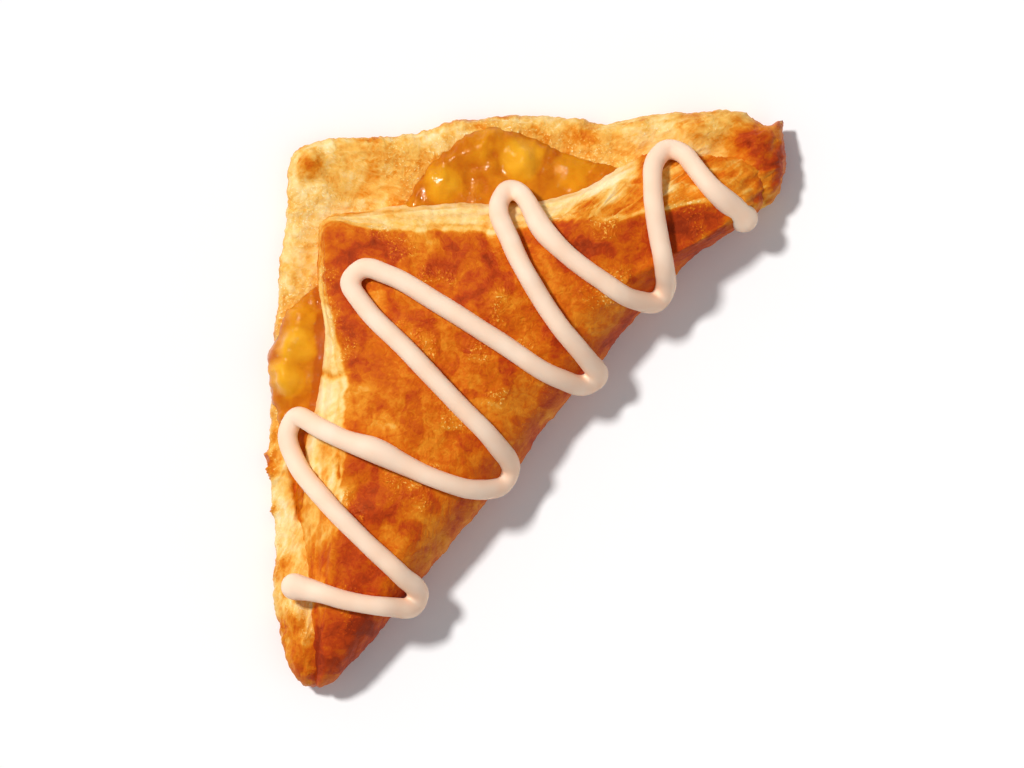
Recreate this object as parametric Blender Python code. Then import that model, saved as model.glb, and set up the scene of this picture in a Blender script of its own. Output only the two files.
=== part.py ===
"""An apple turnover: a square of puff pastry folded corner over corner onto apple filling, and iced in a zigzag.

The frame has +Z up. The cut sides of the pastry run along +X and -Y from its square corner, and the fold
faces +X -Y. The origin is on the resting face, under the middle of the outline.
Lengths are in millimetres, and MM turns them into Blender's metres.

Pastry and filling are mounds: closed forms whose outline is a ring of stations round a centre. From the outline a
wall climbs inwards to a shoulder, and from there the top runs on to the crown over the centre. Because the plan is a
triangle and the centre is the middle of its inscribed circle, moving every ring point towards the centre by the
same share moves all three sides inwards by the same distance.
"""

import math

import bmesh
import bpy
import numpy as np

MM = 0.001

# ---- driving sizes ----
BED_HEIGHT = 4.6  # top of the lower half under the filling
CROWN_HEIGHT = 21.5  # top of the folded half over its middle
FILLING_HEIGHT = 10.0  # top of the filling inside the pocket
FILLING_BED = 3.6  # underside of the filling, sunk into the lower half
BEAD_RADIUS = 2.25  # icing as it leaves the piping bag
BEAD_SINK = 0.35  # how far the icing settles into the crust
CLEARANCE = 0.33  # gap between touching pieces
LAYERS = 3  # steps that the puffed layers make in the cut side

# The lower half and the two sealed tips, anticlockwise from the square corner: x, y, rim height.
LOWER_STATIONS = [
    # square corner and the cut side along -Y
    (-51.4, 54.2, 7.2), (-52.2, 48.0, 6.8), (-53.4, 36.0, 6.4), (-54.8, 20.0, 6.0), (-55.8, 4.0, 5.8),
    (-56.6, -12.0, 6.2), (-55.6, -24.0, 6.8), (-55.2, -34.0, 7.6), (-55.7, -41.0, 8.6), (-54.4, -49.0, 10.4),
    # lower tip
    (-52.8, -57.4, 12.0), (-50.2, -62.0, 12.4), (-47.4, -63.5, 11.6), (-44.4, -62.2, 10.0),
    # under the fold, where the folded half hides it
    (-40.6, -57.6, 8.0), (-32.0, -46.0, 7.0), (-12.0, -20.5, 6.0), (14.2, 12.0, 6.0), (31.8, 30.6, 7.0),
    (42.4, 37.6, 8.2),
    # right tip
    (49.9, 41.0, 9.4), (54.0, 43.3, 10.6), (56.5, 47.6, 12.4), (57.6, 54.0, 13.2), (55.8, 60.2, 13.0),
    (52.0, 61.2, 12.6),
    # cut side back along -X
    (46.4, 63.8, 12.4), (38.0, 63.3, 11.0), (27.4, 62.9, 9.6), (17.6, 61.0, 8.2), (11.0, 62.0, 7.6),
    (-2.3, 62.6, 7.4), (-14.0, 61.6, 7.2), (-26.0, 58.4, 7.0), (-39.0, 57.7, 7.0), (-46.4, 57.2, 7.2),
]
LOWER_CENTRE, LOWER_INRADIUS = (-17.0, 23.0), 33.0
RIM_RUN = 3.2  # width of the rounded rim of the lower half
FOOT_OF_RIM = 0.42  # height of its widest line, as a share of the rim's

# The folded half, anticlockwise: x, y, foot height, wall run, shoulder height, cut (1 a cut side, 0 the fold).
FOLDED_STATIONS = [
    # corner flap and the cut side along -Y
    (-44.9, 39.4, 5.4, 1.6, 10.0, 1), (-45.6, 33.0, 5.5, 1.6, 10.8, 1), (-45.8, 25.0, 6.5, 2.2, 12.0, 1),
    (-44.8, 16.0, 7.4, 3.2, 13.5, 1), (-45.6, 7.0, 7.6, 5.0, 14.6, 1), (-46.5, -1.0, 7.6, 6.2, 15.4, 1),
    (-48.6, -9.0, 7.2, 7.6, 15.8, 1), (-49.5, -20.0, 6.6, 8.0, 15.6, 1), (-49.2, -32.0, 6.6, 7.4, 15.4, 1),
    (-48.3, -44.0, 7.2, 5.4, 15.0, 1), (-47.4, -52.6, 7.4, 3.8, 14.2, 0.6),
    # lower tip
    (-47.4, -59.4, 7.2, 3.0, 13.4, 0.3), (-46.0, -63.2, 6.6, 3.0, 12.8, 0), (-42.3, -61.9, 6.2, 4.0, 13.0, 0),
    # fold
    (-37.6, -57.4, 6.0, 6.5, 14.4, 0), (-30.7, -49.7, 6.2, 10.0, 16.8, 0), (-21.8, -38.1, 6.4, 12.5, 18.6, 0),
    (-10.2, -24.1, 6.6, 14.0, 19.8, 0), (-0.8, -13.2, 6.6, 14.5, 20.2, 0), (8.7, -0.3, 6.6, 14.5, 20.2, 0),
    (17.5, 9.5, 6.6, 14.0, 20.0, 0), (25.1, 19.1, 6.6, 13.0, 19.8, 0), (34.6, 29.1, 6.4, 11.0, 18.8, 0),
    (43.5, 36.0, 6.4, 8.0, 17.2, 0), (49.6, 40.0, 6.4, 5.0, 15.8, 0.2),
    # right tip
    (53.2, 43.5, 6.8, 3.8, 15.0, 0.6), (54.2, 47.6, 8.4, 4.0, 15.2, 1), (53.4, 51.6, 9.0, 5.5, 15.6, 1),
    (49.6, 54.4, 9.0, 8.5, 16.2, 1),
    # cut side back along -X
    (42.0, 55.2, 8.8, 11.0, 17.4, 1), (34.0, 55.2, 8.8, 12.0, 18.0, 1), (27.0, 54.2, 8.8, 11.0, 18.0, 1),
    (20.0, 50.8, 8.6, 9.0, 17.4, 1), (13.0, 46.9, 8.4, 7.0, 16.6, 1), (3.0, 44.5, 8.4, 6.2, 16.0, 1),
    (-8.0, 44.0, 8.4, 6.0, 15.4, 1), (-20.0, 43.7, 8.0, 6.0, 14.4, 1), (-31.0, 42.4, 6.8, 5.4, 12.8, 1),
    (-39.0, 41.2, 5.8, 3.4, 11.2, 1), (-43.6, 40.6, 5.4, 1.8, 10.2, 1),
]
FOLDED_CENTRE, FOLDED_INRADIUS = (-16.2, 12.5), 28.8
FOLDED_UNDERSIDE = 2.2  # inside the lower half, which it is joined to

# The filling, anticlockwise: x, y, foot height, wall run, shoulder height.
FILLING_STATIONS = [
    # pushed out past the rim on the cut side along -Y, then a thin seam of it down to the seal
    (-43.0, 27.0, 5.0, 2.0, 8.0), (-48.4, 23.6, 5.4, 2.0, 7.6), (-52.6, 19.4, 5.0, 3.0, 8.2),
    (-55.2, 14.0, 4.4, 3.4, 8.6), (-57.0, 8.6, 4.4, 3.6, 8.8), (-56.8, 2.6, 4.4, 3.4, 8.6),
    (-54.8, -3.6, 4.8, 3.0, 8.2), (-52.8, -9.0, 5.0, 2.0, 7.8), (-50.8, -18.0, 5.2, 1.4, 7.4),
    (-49.9, -24.5, 5.2, 1.2, 7.0),
    # inside the pocket
    (-44.0, -28.0, 5.2, 3.0, 7.5), (-38.0, -41.0, 5.4, 3.0, 7.5), (-27.0, -34.0, 6.0, 5.0, 9.5),
    (-6.0, -8.0, 6.0, 5.0, 10.0), (13.0, 14.0, 6.0, 5.0, 10.0), (32.0, 33.0, 5.8, 4.0, 9.0),
    (39.0, 42.0, 5.6, 3.0, 8.4), (30.0, 47.6, 5.6, 2.5, 9.2),
    # pushed out on the cut side along X
    (22.6, 51.6, 6.0, 2.0, 9.0), (14.4, 52.8, 5.6, 3.0, 9.2), (8.4, 54.8, 5.4, 3.4, 9.4), (2.6, 57.8, 5.2, 3.4, 9.2),
    (-4.0, 60.2, 5.2, 3.4, 9.0), (-9.6, 60.1, 5.2, 3.4, 9.0), (-15.0, 57.4, 5.2, 3.0, 8.8),
    (-20.0, 53.2, 5.2, 2.6, 8.6), (-24.2, 47.6, 5.2, 2.2, 8.2), (-26.4, 42.8, 5.2, 2.0, 8.0),
    # inside the pocket again, behind the square corner
    (-33.0, 34.6, 5.2, 3.0, 8.0),
]
FILLING_CENTRE, FILLING_INRADIUS = (-16.2, 14.0), 30.0

# Pieces of apple under the filling's skin: x, y, radius, height.
APPLE_PIECES = [
    (-1.0, 53.0, 4.6, 1.7), (-18.4, 47.4, 4.2, 1.5), (-8.0, 57.0, 3.6, 0.8), (9.8, 50.4, 4.0, 0.9),
    (-50.6, 12.0, 4.4, 1.6), (-53.0, 5.0, 4.4, 1.5), (-49.4, 18.0, 3.2, 0.9),
]

# Blisters where steam has lifted the crust: x, y, radius, height.
LOWER_BLISTERS = [
    (-47.4, 51.6, 4.4, 1.3), (-34.0, 53.5, 6.0, 0.7), (24.0, 59.6, 5.0, 0.9), (38.0, 59.4, 6.0, 1.5),
    (50.0, 58.0, 5.0, 0.9), (-51.6, -47.0, 4.0, 0.9),
]
FOLDED_BLISTERS = [(-38.0, 18.0, 8.0, 0.6), (-8.0, 22.0, 9.0, 0.8), (10.0, 20.0, 8.0, 0.6), (-30.0, -24.0, 8.0, 0.7)]

# The icing's route over the top, stroke by stroke: x, y, radius as a share of BEAD_RADIUS, and how far it
# has slumped down the side of the fold.
ICING_ROUTE = [
    (48.0, 40.0, 1.45, 7.0), (44.8, 42.9, 1.25, 4.0), (40.8, 46.6, 1.05, 1.0), (37.4, 50.8, 1.00, 0),
    (34.6, 54.2, 1.00, 0), (31.2, 55.2, 1.00, 0), (28.4, 52.4, 1.00, 0),
    (27.9, 46.8, 0.96, 0), (28.9, 37.6, 1.00, 0), (30.4, 29.4, 1.02, 1.0),
    (30.8, 25.0, 1.08, 4.0), (28.7, 21.6, 1.08, 4.0), (24.3, 21.9, 1.02, 1.6),
    (16.4, 26.4, 0.98, 0), (8.8, 32.2, 1.00, 0), (3.8, 37.4, 1.14, 0), (0.6, 43.0, 0.98, 0),
    (-0.9, 45.3, 0.98, 0), (-3.5, 46.4, 0.98, 0), (-5.8, 43.2, 0.98, 0),
    (-3.4, 35.0, 1.00, 0), (1.5, 25.4, 0.98, 0), (7.6, 16.0, 1.00, 0), (13.6, 8.8, 1.02, 1.4),
    (15.9, 5.4, 1.10, 3.2), (12.9, 3.3, 1.08, 3.6), (7.3, 4.8, 1.02, 1.0),
    (-5.3, 12.5, 1.00, 0), (-18.6, 20.9, 1.02, 0), (-30.6, 27.6, 1.00, 0),
    (-35.6, 28.9, 1.00, 0), (-38.5, 26.0, 1.00, 0), (-36.2, 21.8, 1.00, 0),
    (-26.0, 11.0, 1.00, 0), (-14.3, -1.4, 0.98, 0), (-7.0, -9.1, 1.02, 1.4),
    (-3.5, -14.8, 1.08, 5.4), (-5.4, -18.7, 1.06, 5.2), (-10.3, -19.7, 1.02, 1.8),
    (-18.8, -17.6, 0.96, 0), (-26.5, -14.2, 1.05, 0), (-32.5, -11.2, 1.28, 0), (-39.5, -8.8, 1.04, 0),
    (-46.2, -5.6, 1.05, 0), (-50.3, -3.7, 1.00, 0), (-52.3, -6.8, 1.00, 0),
    (-50.6, -13.4, 1.00, 0), (-44.0, -22.0, 0.98, 0), (-35.4, -30.8, 0.98, 0), (-27.3, -38.5, 1.02, 0.6),
    (-23.6, -42.5, 1.08, 1.0), (-24.8, -45.4, 1.06, 0.6), (-30.0, -45.4, 1.00, 0.4),
    (-39.6, -43.9, 0.96, 0), (-46.6, -41.9, 1.10, 0), (-50.8, -41.0, 1.35, 0),
]
ICING_STATIONS = 150
CROWDING = 5.0  # the stretch of icing, in mm, that gets as many stations as one radian of turn
BRIDGING = 6  # rounds of smoothing that carry the stiff bead over dips and steps
ICING_BEVEL_RESOLUTION = 2  # 8 sides

FALL_OFF = 3.0  # slope that carries a mound's side on past its outline, for the bead to lie against

# Gentle swelling of the baked surface: cell size and height.
SWELLS = [(9.0, 0.55), (4.0, 0.28)]


# ---- curves and noise ----
def smooth_curve(points, count, closed):
    """Cubic curve through the points, read at count places evenly spaced along it."""
    points = np.array(points, float)
    if closed:
        points = np.vstack([points[-2:], points, points[:3]])
    steps = np.linalg.norm(np.diff(points[:, :2], axis=0), axis=1)
    knots = np.concatenate([[0.0], np.cumsum(steps)])
    slopes = np.gradient(points, knots, axis=0)
    first, last = (2, len(points) - 3) if closed else (0, len(points) - 1)
    fine = np.linspace(knots[first], knots[last], count * 12 + 1)
    piece = np.clip(np.searchsorted(knots, fine, side="right") - 1, 0, len(knots) - 2)
    width = (knots[piece + 1] - knots[piece])[:, None]
    u = (fine - knots[piece])[:, None] / width
    curve = (
        (2 * u**3 - 3 * u**2 + 1) * points[piece]
        + (u**3 - 2 * u**2 + u) * width * slopes[piece]
        + (3 * u**2 - 2 * u**3) * points[piece + 1]
        + (u**3 - u**2) * width * slopes[piece + 1]
    )
    travelled = np.concatenate([[0.0], np.cumsum(np.linalg.norm(np.diff(curve[:, :2], axis=0), axis=1))])
    wanted = np.linspace(0, travelled[-1], count, endpoint=not closed)
    return np.stack([np.interp(wanted, travelled, column) for column in curve.T], axis=1)


def lattice_value(ix, iy):
    """A fixed number from -1 to 1 for each point of a square lattice."""
    mixed = (ix * 374761393 + iy * 668265263) & 0xFFFFFFFF
    mixed = ((mixed ^ (mixed >> 13)) * 1274126177) & 0xFFFFFFFF
    return (mixed & 0xFFFF) / 32767.5 - 1.0


def noise(x, y, cell):
    """Smooth value noise from -1 to 1, with one value for each cell."""
    ix, iy = np.floor(x / cell).astype(np.int64), np.floor(y / cell).astype(np.int64)
    fx, fy = x / cell - ix, y / cell - iy
    ux, uy = fx * fx * (3 - 2 * fx), fy * fy * (3 - 2 * fy)
    low = lattice_value(ix, iy) * (1 - ux) + lattice_value(ix + 1, iy) * ux
    high = lattice_value(ix, iy + 1) * (1 - ux) + lattice_value(ix + 1, iy + 1) * ux
    return low * (1 - uy) + high * uy


def swelling(x, y):
    return sum(height * noise(x, y, cell) for cell, height in SWELLS)


def smoothstep(value):
    value = np.clip(value, 0, 1)
    return value * value * (3 - 2 * value)


def layered(share):
    """0 to 1 up a cut side, with a flat tread and a steep riser for each layer."""
    turn = 2 * math.pi * LAYERS * share
    return share - 0.8 * np.sin(turn) / (2 * math.pi * LAYERS)


# ---- mounds ----
class Mound:
    """A ring of stations (x, y, foot, run, shoulder, cut) round a centre, and the surface that it describes."""

    def __init__(self, stations, centre, inradius, crown, lumps):
        self.stations = stations
        self.centre = np.array(centre)
        self.inradius = inradius
        self.crown = crown
        self.lumps = lumps
        ring = smooth_curve(stations, 720, closed=True)
        away = ring[:, :2] - self.centre
        angle = np.arctan2(away[:, 1], away[:, 0])
        order = np.argsort(angle)
        self.angles = angle[order]
        self.table = np.column_stack([np.linalg.norm(away, axis=1), ring[:, 2:]])[order]

    def around(self, angle):
        """Outline radius, foot, run, shoulder and cut in the direction of each angle."""
        return [np.interp(angle, self.angles, column, period=2 * math.pi) for column in self.table.T]

    def profile(self, inset, foot, run, shoulder, cut):
        """Height at a distance in from the outline: a rounded wall, stepped where cut, on a shallow dome."""
        share = np.clip(inset / run, 0, 1)
        share = share + cut * (layered(share) - share)
        bulge = 2.0 - 0.7 * cut
        wall = foot + (shoulder - foot) * (1 - (1 - share) ** bulge) ** (1 / bulge)
        return wall + (self.crown - shoulder) * (1 - (1 - inset / self.inradius) ** 2)

    def relief(self, x, y, inset):
        """What stands up from the plain profile: gentle swells, and round lumps that fade in from the rim."""
        height = swelling(x, y) * smoothstep(inset / 3)
        for lump_x, lump_y, radius, rise in self.lumps:
            near = ((x - lump_x) ** 2 + (y - lump_y) ** 2) / radius**2
            height = height + rise * np.clip(1 - near, 0, None) ** 1.5 * smoothstep(inset / 2)
        return height

    def height(self, x, y):
        """Height of the top over each point of the plan. Past the outline it falls away steeply."""
        away_x, away_y = x - self.centre[0], y - self.centre[1]
        radius, foot, run, shoulder, cut = self.around(np.arctan2(away_y, away_x))
        inset = (1 - np.hypot(away_x, away_y) / radius) * self.inradius
        top = self.profile(np.maximum(inset, 0), foot, run, shoulder, cut) + self.relief(x, y, inset)
        return np.where(inset >= 0, top, foot + FALL_OFF * inset)

    def rings(self, rays, wall_shares, top_shares, under, grow):
        """Rows of points from the crown out to the rim and back under: (ring, ray, xyz), grown by a gap."""
        outline = smooth_curve(self.stations, rays, closed=True)
        outer = outline[:, :2] - self.centre
        foot, run, shoulder, cut = outline[:, 2:].T
        insets = [run + (self.inradius - run) * share for share in top_shares[::-1]]
        insets = np.array(insets + [run * share for share in wall_shares[::-1]])
        plan = self.centre + outer * (1 - insets / self.inradius)[:, :, None]
        tops = self.profile(insets, foot, run, shoulder, cut) + self.relief(plan[..., 0], plan[..., 1], insets)
        upper = np.concatenate([plan, tops[:, :, None] + grow], axis=2)
        lower = []
        for inset, height in under(foot, cut):
            plan = self.centre + outer * (1 - inset / self.inradius)
            lower.append(np.column_stack([plan, np.broadcast_to(height, foot.shape) - grow]))
        points = np.concatenate([upper, np.array(lower)])
        points[..., :2] = self.centre + (points[..., :2] - self.centre) * (1 + grow / self.inradius)
        return points


def ball(name, points):
    """A UV sphere whose rings and rays take the places given, and whose poles close top and bottom."""
    rings, rays = points.shape[:2]
    bm = bmesh.new()
    bmesh.ops.create_uvsphere(bm, u_segments=rays, v_segments=rings - 1, radius=1)
    for vertex in bm.verts:
        polar = math.acos(max(-1.0, min(1.0, vertex.co.z)))
        ring = round(polar / math.pi * (rings - 1))
        ray = round(math.atan2(vertex.co.y, vertex.co.x) / (2 * math.pi) * rays) % rays
        vertex.co = points[ring, ray] * MM
    mesh = bpy.data.meshes.new(name)
    bm.to_mesh(mesh)
    bm.free()
    return bpy.data.objects.new(name, mesh)


# ---- the three mounds ----
ROUND_WALL = (0.0, 0.06, 0.22, 0.5, 1.0)
LAYERED_WALL = (0.0, 1 / 12, 3 / 12, 5 / 12, 7 / 12, 9 / 12, 11 / 12, 1.0)


def lower_half():
    stations = [(x, y, FOOT_OF_RIM * rim, RIM_RUN, rim, 0) for x, y, rim in LOWER_STATIONS]
    return Mound(stations, LOWER_CENTRE, LOWER_INRADIUS, BED_HEIGHT, LOWER_BLISTERS)


def folded_half():
    return Mound(FOLDED_STATIONS, FOLDED_CENTRE, FOLDED_INRADIUS, CROWN_HEIGHT, FOLDED_BLISTERS)


def filling_mound():
    stations = [(*station, 0) for station in FILLING_STATIONS]
    return Mound(stations, FILLING_CENTRE, FILLING_INRADIUS, FILLING_HEIGHT, APPLE_PIECES)


def lower_rings(grow=0.0):
    def under(foot, cut):
        return [(0.5, foot * 0.4), (2.0, 0.0), (14.0, 0.0), (LOWER_INRADIUS, 0.0)]

    return lower_half().rings(108, ROUND_WALL, (0.1, 0.25, 0.45, 0.7, 1.0), under, grow)


def folded_rings(grow=0.0):
    """The belly under the fold curves down to the plate; under the cut sides the mound ends in the lower half."""

    def under(foot, cut):
        sealed = FOLDED_UNDERSIDE * cut
        belly = 1 - cut
        return [
            (0.6, sealed + 0.55 * foot * belly), (2.2, sealed + 0.22 * foot * belly), (4.8, sealed + 0.6 * belly),
            (14.0, sealed + 1.2 * belly), (FOLDED_INRADIUS, FOLDED_UNDERSIDE),
        ]

    return folded_half().rings(120, LAYERED_WALL, (0.08, 0.2, 0.36, 0.56, 0.78, 1.0), under, grow)


def filling_rings(grow=0.0):
    def under(foot, cut):
        return [(1.2, FILLING_BED), (14.0, FILLING_BED), (FILLING_INRADIUS, FILLING_BED)]

    return filling_mound().rings(80, (0.0, 0.12, 0.4, 1.0), (0.12, 0.28, 0.5, 0.75, 1.0), under, grow)


# ---- icing ----
def resting_height(x, y, radius, mounds):
    """Height of the middle of a bead that rolls over the mounds: no mound point comes nearer than its radius."""
    reach = radius[:, None, None]
    share = np.linspace(0, 1, 7)[None, :, None]
    turn = np.linspace(0, 2 * math.pi, 16, endpoint=False)[None, None, :]
    at_x = x[:, None, None] + reach * share * np.cos(turn)
    at_y = y[:, None, None] + reach * share * np.sin(turn)
    surface = np.maximum.reduce([mound.height(at_x, at_y) for mound in mounds])
    return (surface + reach * np.sqrt(1 - share**2)).max(axis=(1, 2)) - BEAD_SINK


def crowded(route, count):
    """The route read again at count places, which lie closer together the more it turns."""
    step = np.diff(route[:, :2], axis=0)
    heading = np.unwrap(np.arctan2(step[:, 1], step[:, 0]))
    turning = np.abs(np.gradient(heading))
    travelled = np.concatenate([[0.0], np.cumsum(np.linalg.norm(step, axis=1) + CROWDING * turning)])
    wanted = np.linspace(0, travelled[-1], count)
    return np.stack([np.interp(wanted, travelled, column) for column in route.T], axis=1)


def icing_path(mounds):
    """Points and radii of the bead, which lies on the mounds and bridges their dips."""
    route = crowded(smooth_curve(ICING_ROUTE, 8 * ICING_STATIONS, closed=False), ICING_STATIONS)
    x, y, radius = route[:, 0], route[:, 1], route[:, 2] * BEAD_RADIUS
    z = resting_height(x, y, radius, mounds)
    for _ in range(BRIDGING):
        z = np.maximum(z, np.convolve(np.pad(z, 1, mode="edge"), (0.25, 0.5, 0.25), mode="valid"))
    return np.column_stack([x, y, z - route[:, 3]]), radius


def with_round_ends(points, radius):
    """Both ends carried on by half a ball, as rows that shrink to nearly nothing."""
    starts, radii = [], []
    for end, beyond in ((0, 1), (-1, -2)):
        outward = points[end] - points[beyond]
        outward /= np.linalg.norm(outward)
        angles = np.radians([25, 50, 70, 85])
        starts.append(points[end] + radius[end] * np.sin(angles)[:, None] * outward)
        radii.append(radius[end] * np.cos(angles))
    points = np.vstack([starts[0][::-1], points, starts[1]])
    return points, np.concatenate([radii[0][::-1], radius, radii[1]])


def bead(name, points, radius):
    """The icing as a bevelled curve, made a mesh with its end caps welded on."""
    curve = bpy.data.curves.new(name, "CURVE")
    curve.dimensions = "3D"
    curve.bevel_depth = MM
    curve.bevel_resolution = ICING_BEVEL_RESOLUTION
    curve.use_fill_caps = True
    spline = curve.splines.new("POLY")
    spline.points.add(len(points) - 1)
    spline.points.foreach_set("co", np.column_stack([points * MM, np.ones(len(points))]).ravel())
    spline.points.foreach_set("radius", radius)
    drawn = bpy.data.objects.new(name, curve)
    bpy.context.scene.collection.objects.link(drawn)
    evaluated = drawn.evaluated_get(bpy.context.evaluated_depsgraph_get())
    mesh = bpy.data.meshes.new_from_object(evaluated)
    bpy.data.objects.remove(drawn)
    bpy.data.curves.remove(curve)
    bm = bmesh.new()
    bm.from_mesh(mesh)
    bmesh.ops.remove_doubles(bm, verts=bm.verts, dist=0.01 * MM)
    bmesh.ops.recalc_face_normals(bm, faces=bm.faces)
    bm.to_mesh(mesh)
    bm.free()
    return bpy.data.objects.new(name, mesh)


# ---- putting it together ----
def finish(obj, colour, roughness):
    material = bpy.data.materials.new(obj.name)
    material.use_nodes = True
    shader = material.node_tree.nodes["Principled BSDF"]
    shader.inputs["Base Color"].default_value = (*colour, 1)
    shader.inputs["Roughness"].default_value = roughness
    shader.inputs["Metallic"].default_value = 0
    obj.data.materials.append(material)
    obj.data.shade_smooth()


def boolean(obj, operation, other):
    modifier = obj.modifiers.new(f"{operation.lower()} {other.name}", "BOOLEAN")
    modifier.operation = operation
    modifier.object = other
    modifier.solver = "MANIFOLD"


def main():
    for obj in list(bpy.data.objects):
        bpy.data.objects.remove(obj)
    parts = bpy.data.collections.new("apple_turnover")
    guides = bpy.data.collections.new("guides")
    bpy.context.scene.collection.children.link(parts)
    bpy.context.scene.collection.children.link(guides)

    pastry = ball("pastry", lower_rings())
    filling = ball("filling", filling_rings())
    mounds = (lower_half(), folded_half(), filling_mound())
    icing = bead("icing", *with_round_ends(*icing_path(mounds)))

    fold_over = ball("folded_half", folded_rings())
    filling_room = ball("filling_room", filling_rings(CLEARANCE))
    lower_room = ball("lower_room", lower_rings(CLEARANCE))
    folded_room = ball("folded_room", folded_rings(CLEARANCE))
    for guide in (fold_over, filling_room, lower_room, folded_room):
        guide.hide_render = True
        guide.display_type = "WIRE"
        guides.objects.link(guide)

    boolean(pastry, "UNION", fold_over)
    boolean(pastry, "DIFFERENCE", filling_room)
    for room in (lower_room, folded_room, filling_room):
        boolean(icing, "DIFFERENCE", room)

    finish(pastry, (0.58, 0.22, 0.05), 0.45)
    finish(filling, (0.62, 0.24, 0.03), 0.15)
    finish(icing, (0.95, 0.72, 0.52), 0.3)
    for obj in (pastry, filling, icing):
        parts.objects.link(obj)


main()
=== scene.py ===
"""Looks of an apple turnover: flaky puff pastry folded over apple filling, with piped icing.

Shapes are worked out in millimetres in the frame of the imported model, and MM turns them into metres.
Each function says in words what it computes.
"""

import math
from functools import partial
from itertools import product

import bpy
import numpy as np
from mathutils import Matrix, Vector


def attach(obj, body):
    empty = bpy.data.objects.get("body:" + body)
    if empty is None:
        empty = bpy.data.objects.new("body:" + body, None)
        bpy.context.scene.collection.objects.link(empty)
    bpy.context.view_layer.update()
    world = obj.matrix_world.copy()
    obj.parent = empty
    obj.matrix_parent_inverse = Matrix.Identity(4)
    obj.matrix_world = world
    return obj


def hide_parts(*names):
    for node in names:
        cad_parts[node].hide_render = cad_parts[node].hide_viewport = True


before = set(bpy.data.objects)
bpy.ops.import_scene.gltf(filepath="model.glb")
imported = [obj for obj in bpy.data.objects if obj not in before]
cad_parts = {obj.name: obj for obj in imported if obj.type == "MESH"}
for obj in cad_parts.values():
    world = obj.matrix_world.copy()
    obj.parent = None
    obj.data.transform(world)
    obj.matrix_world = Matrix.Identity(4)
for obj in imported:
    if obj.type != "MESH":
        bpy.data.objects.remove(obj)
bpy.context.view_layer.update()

bl_info = {
    "name": "Apple Turnover",
    "version": (1, 0, 0),
    "blender": (4, 5, 0),
    "location": "View3D > Sidebar > Turnover",
    "description": "Builds an iced apple turnover piece by piece",
    "category": "Add Mesh",
}

MM = 0.001

# ---- outlines and profiles, in mm, as in the solids ----
# Lower half, anticlockwise from the square corner: x, y, rim height.
LOWER_STATIONS = [
    # square corner and the cut side along -Y
    (-51.4, 54.2, 7.2), (-52.2, 48, 6.8), (-53.4, 36, 6.4), (-54.8, 20, 6), (-55.8, 4, 5.8),
    (-56.6, -12, 6.2), (-55.6, -24, 6.8), (-55.2, -34, 7.6), (-55.7, -41, 8.6), (-54.4, -49, 10.4),
    # lower tip
    (-52.8, -57.4, 12), (-50.2, -62, 12.4), (-47.4, -63.5, 11.6), (-44.4, -62.2, 10),
    # under the fold, where the folded half hides it
    (-40.6, -57.6, 8), (-32, -46, 7), (-12, -20.5, 6), (14.2, 12, 6), (31.8, 30.6, 7), (42.4, 37.6, 8.2),
    # right tip
    (49.9, 41, 9.4), (54, 43.3, 10.6), (56.5, 47.6, 12.4), (57.6, 54, 13.2), (55.8, 60.2, 13),
    (52, 61.2, 12.6),
    # cut side back along -X
    (46.4, 63.8, 12.4), (38, 63.3, 11), (27.4, 62.9, 9.6), (17.6, 61, 8.2), (11, 62, 7.6),
    (-2.3, 62.6, 7.4), (-14, 61.6, 7.2), (-26, 58.4, 7), (-39, 57.7, 7), (-46.4, 57.2, 7.2),
]
LOWER_CENTRE, LOWER_INRADIUS = (-17.0, 23.0), 33.0
RIM_RUN = 3.2
FOOT_OF_RIM = 0.42

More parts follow.
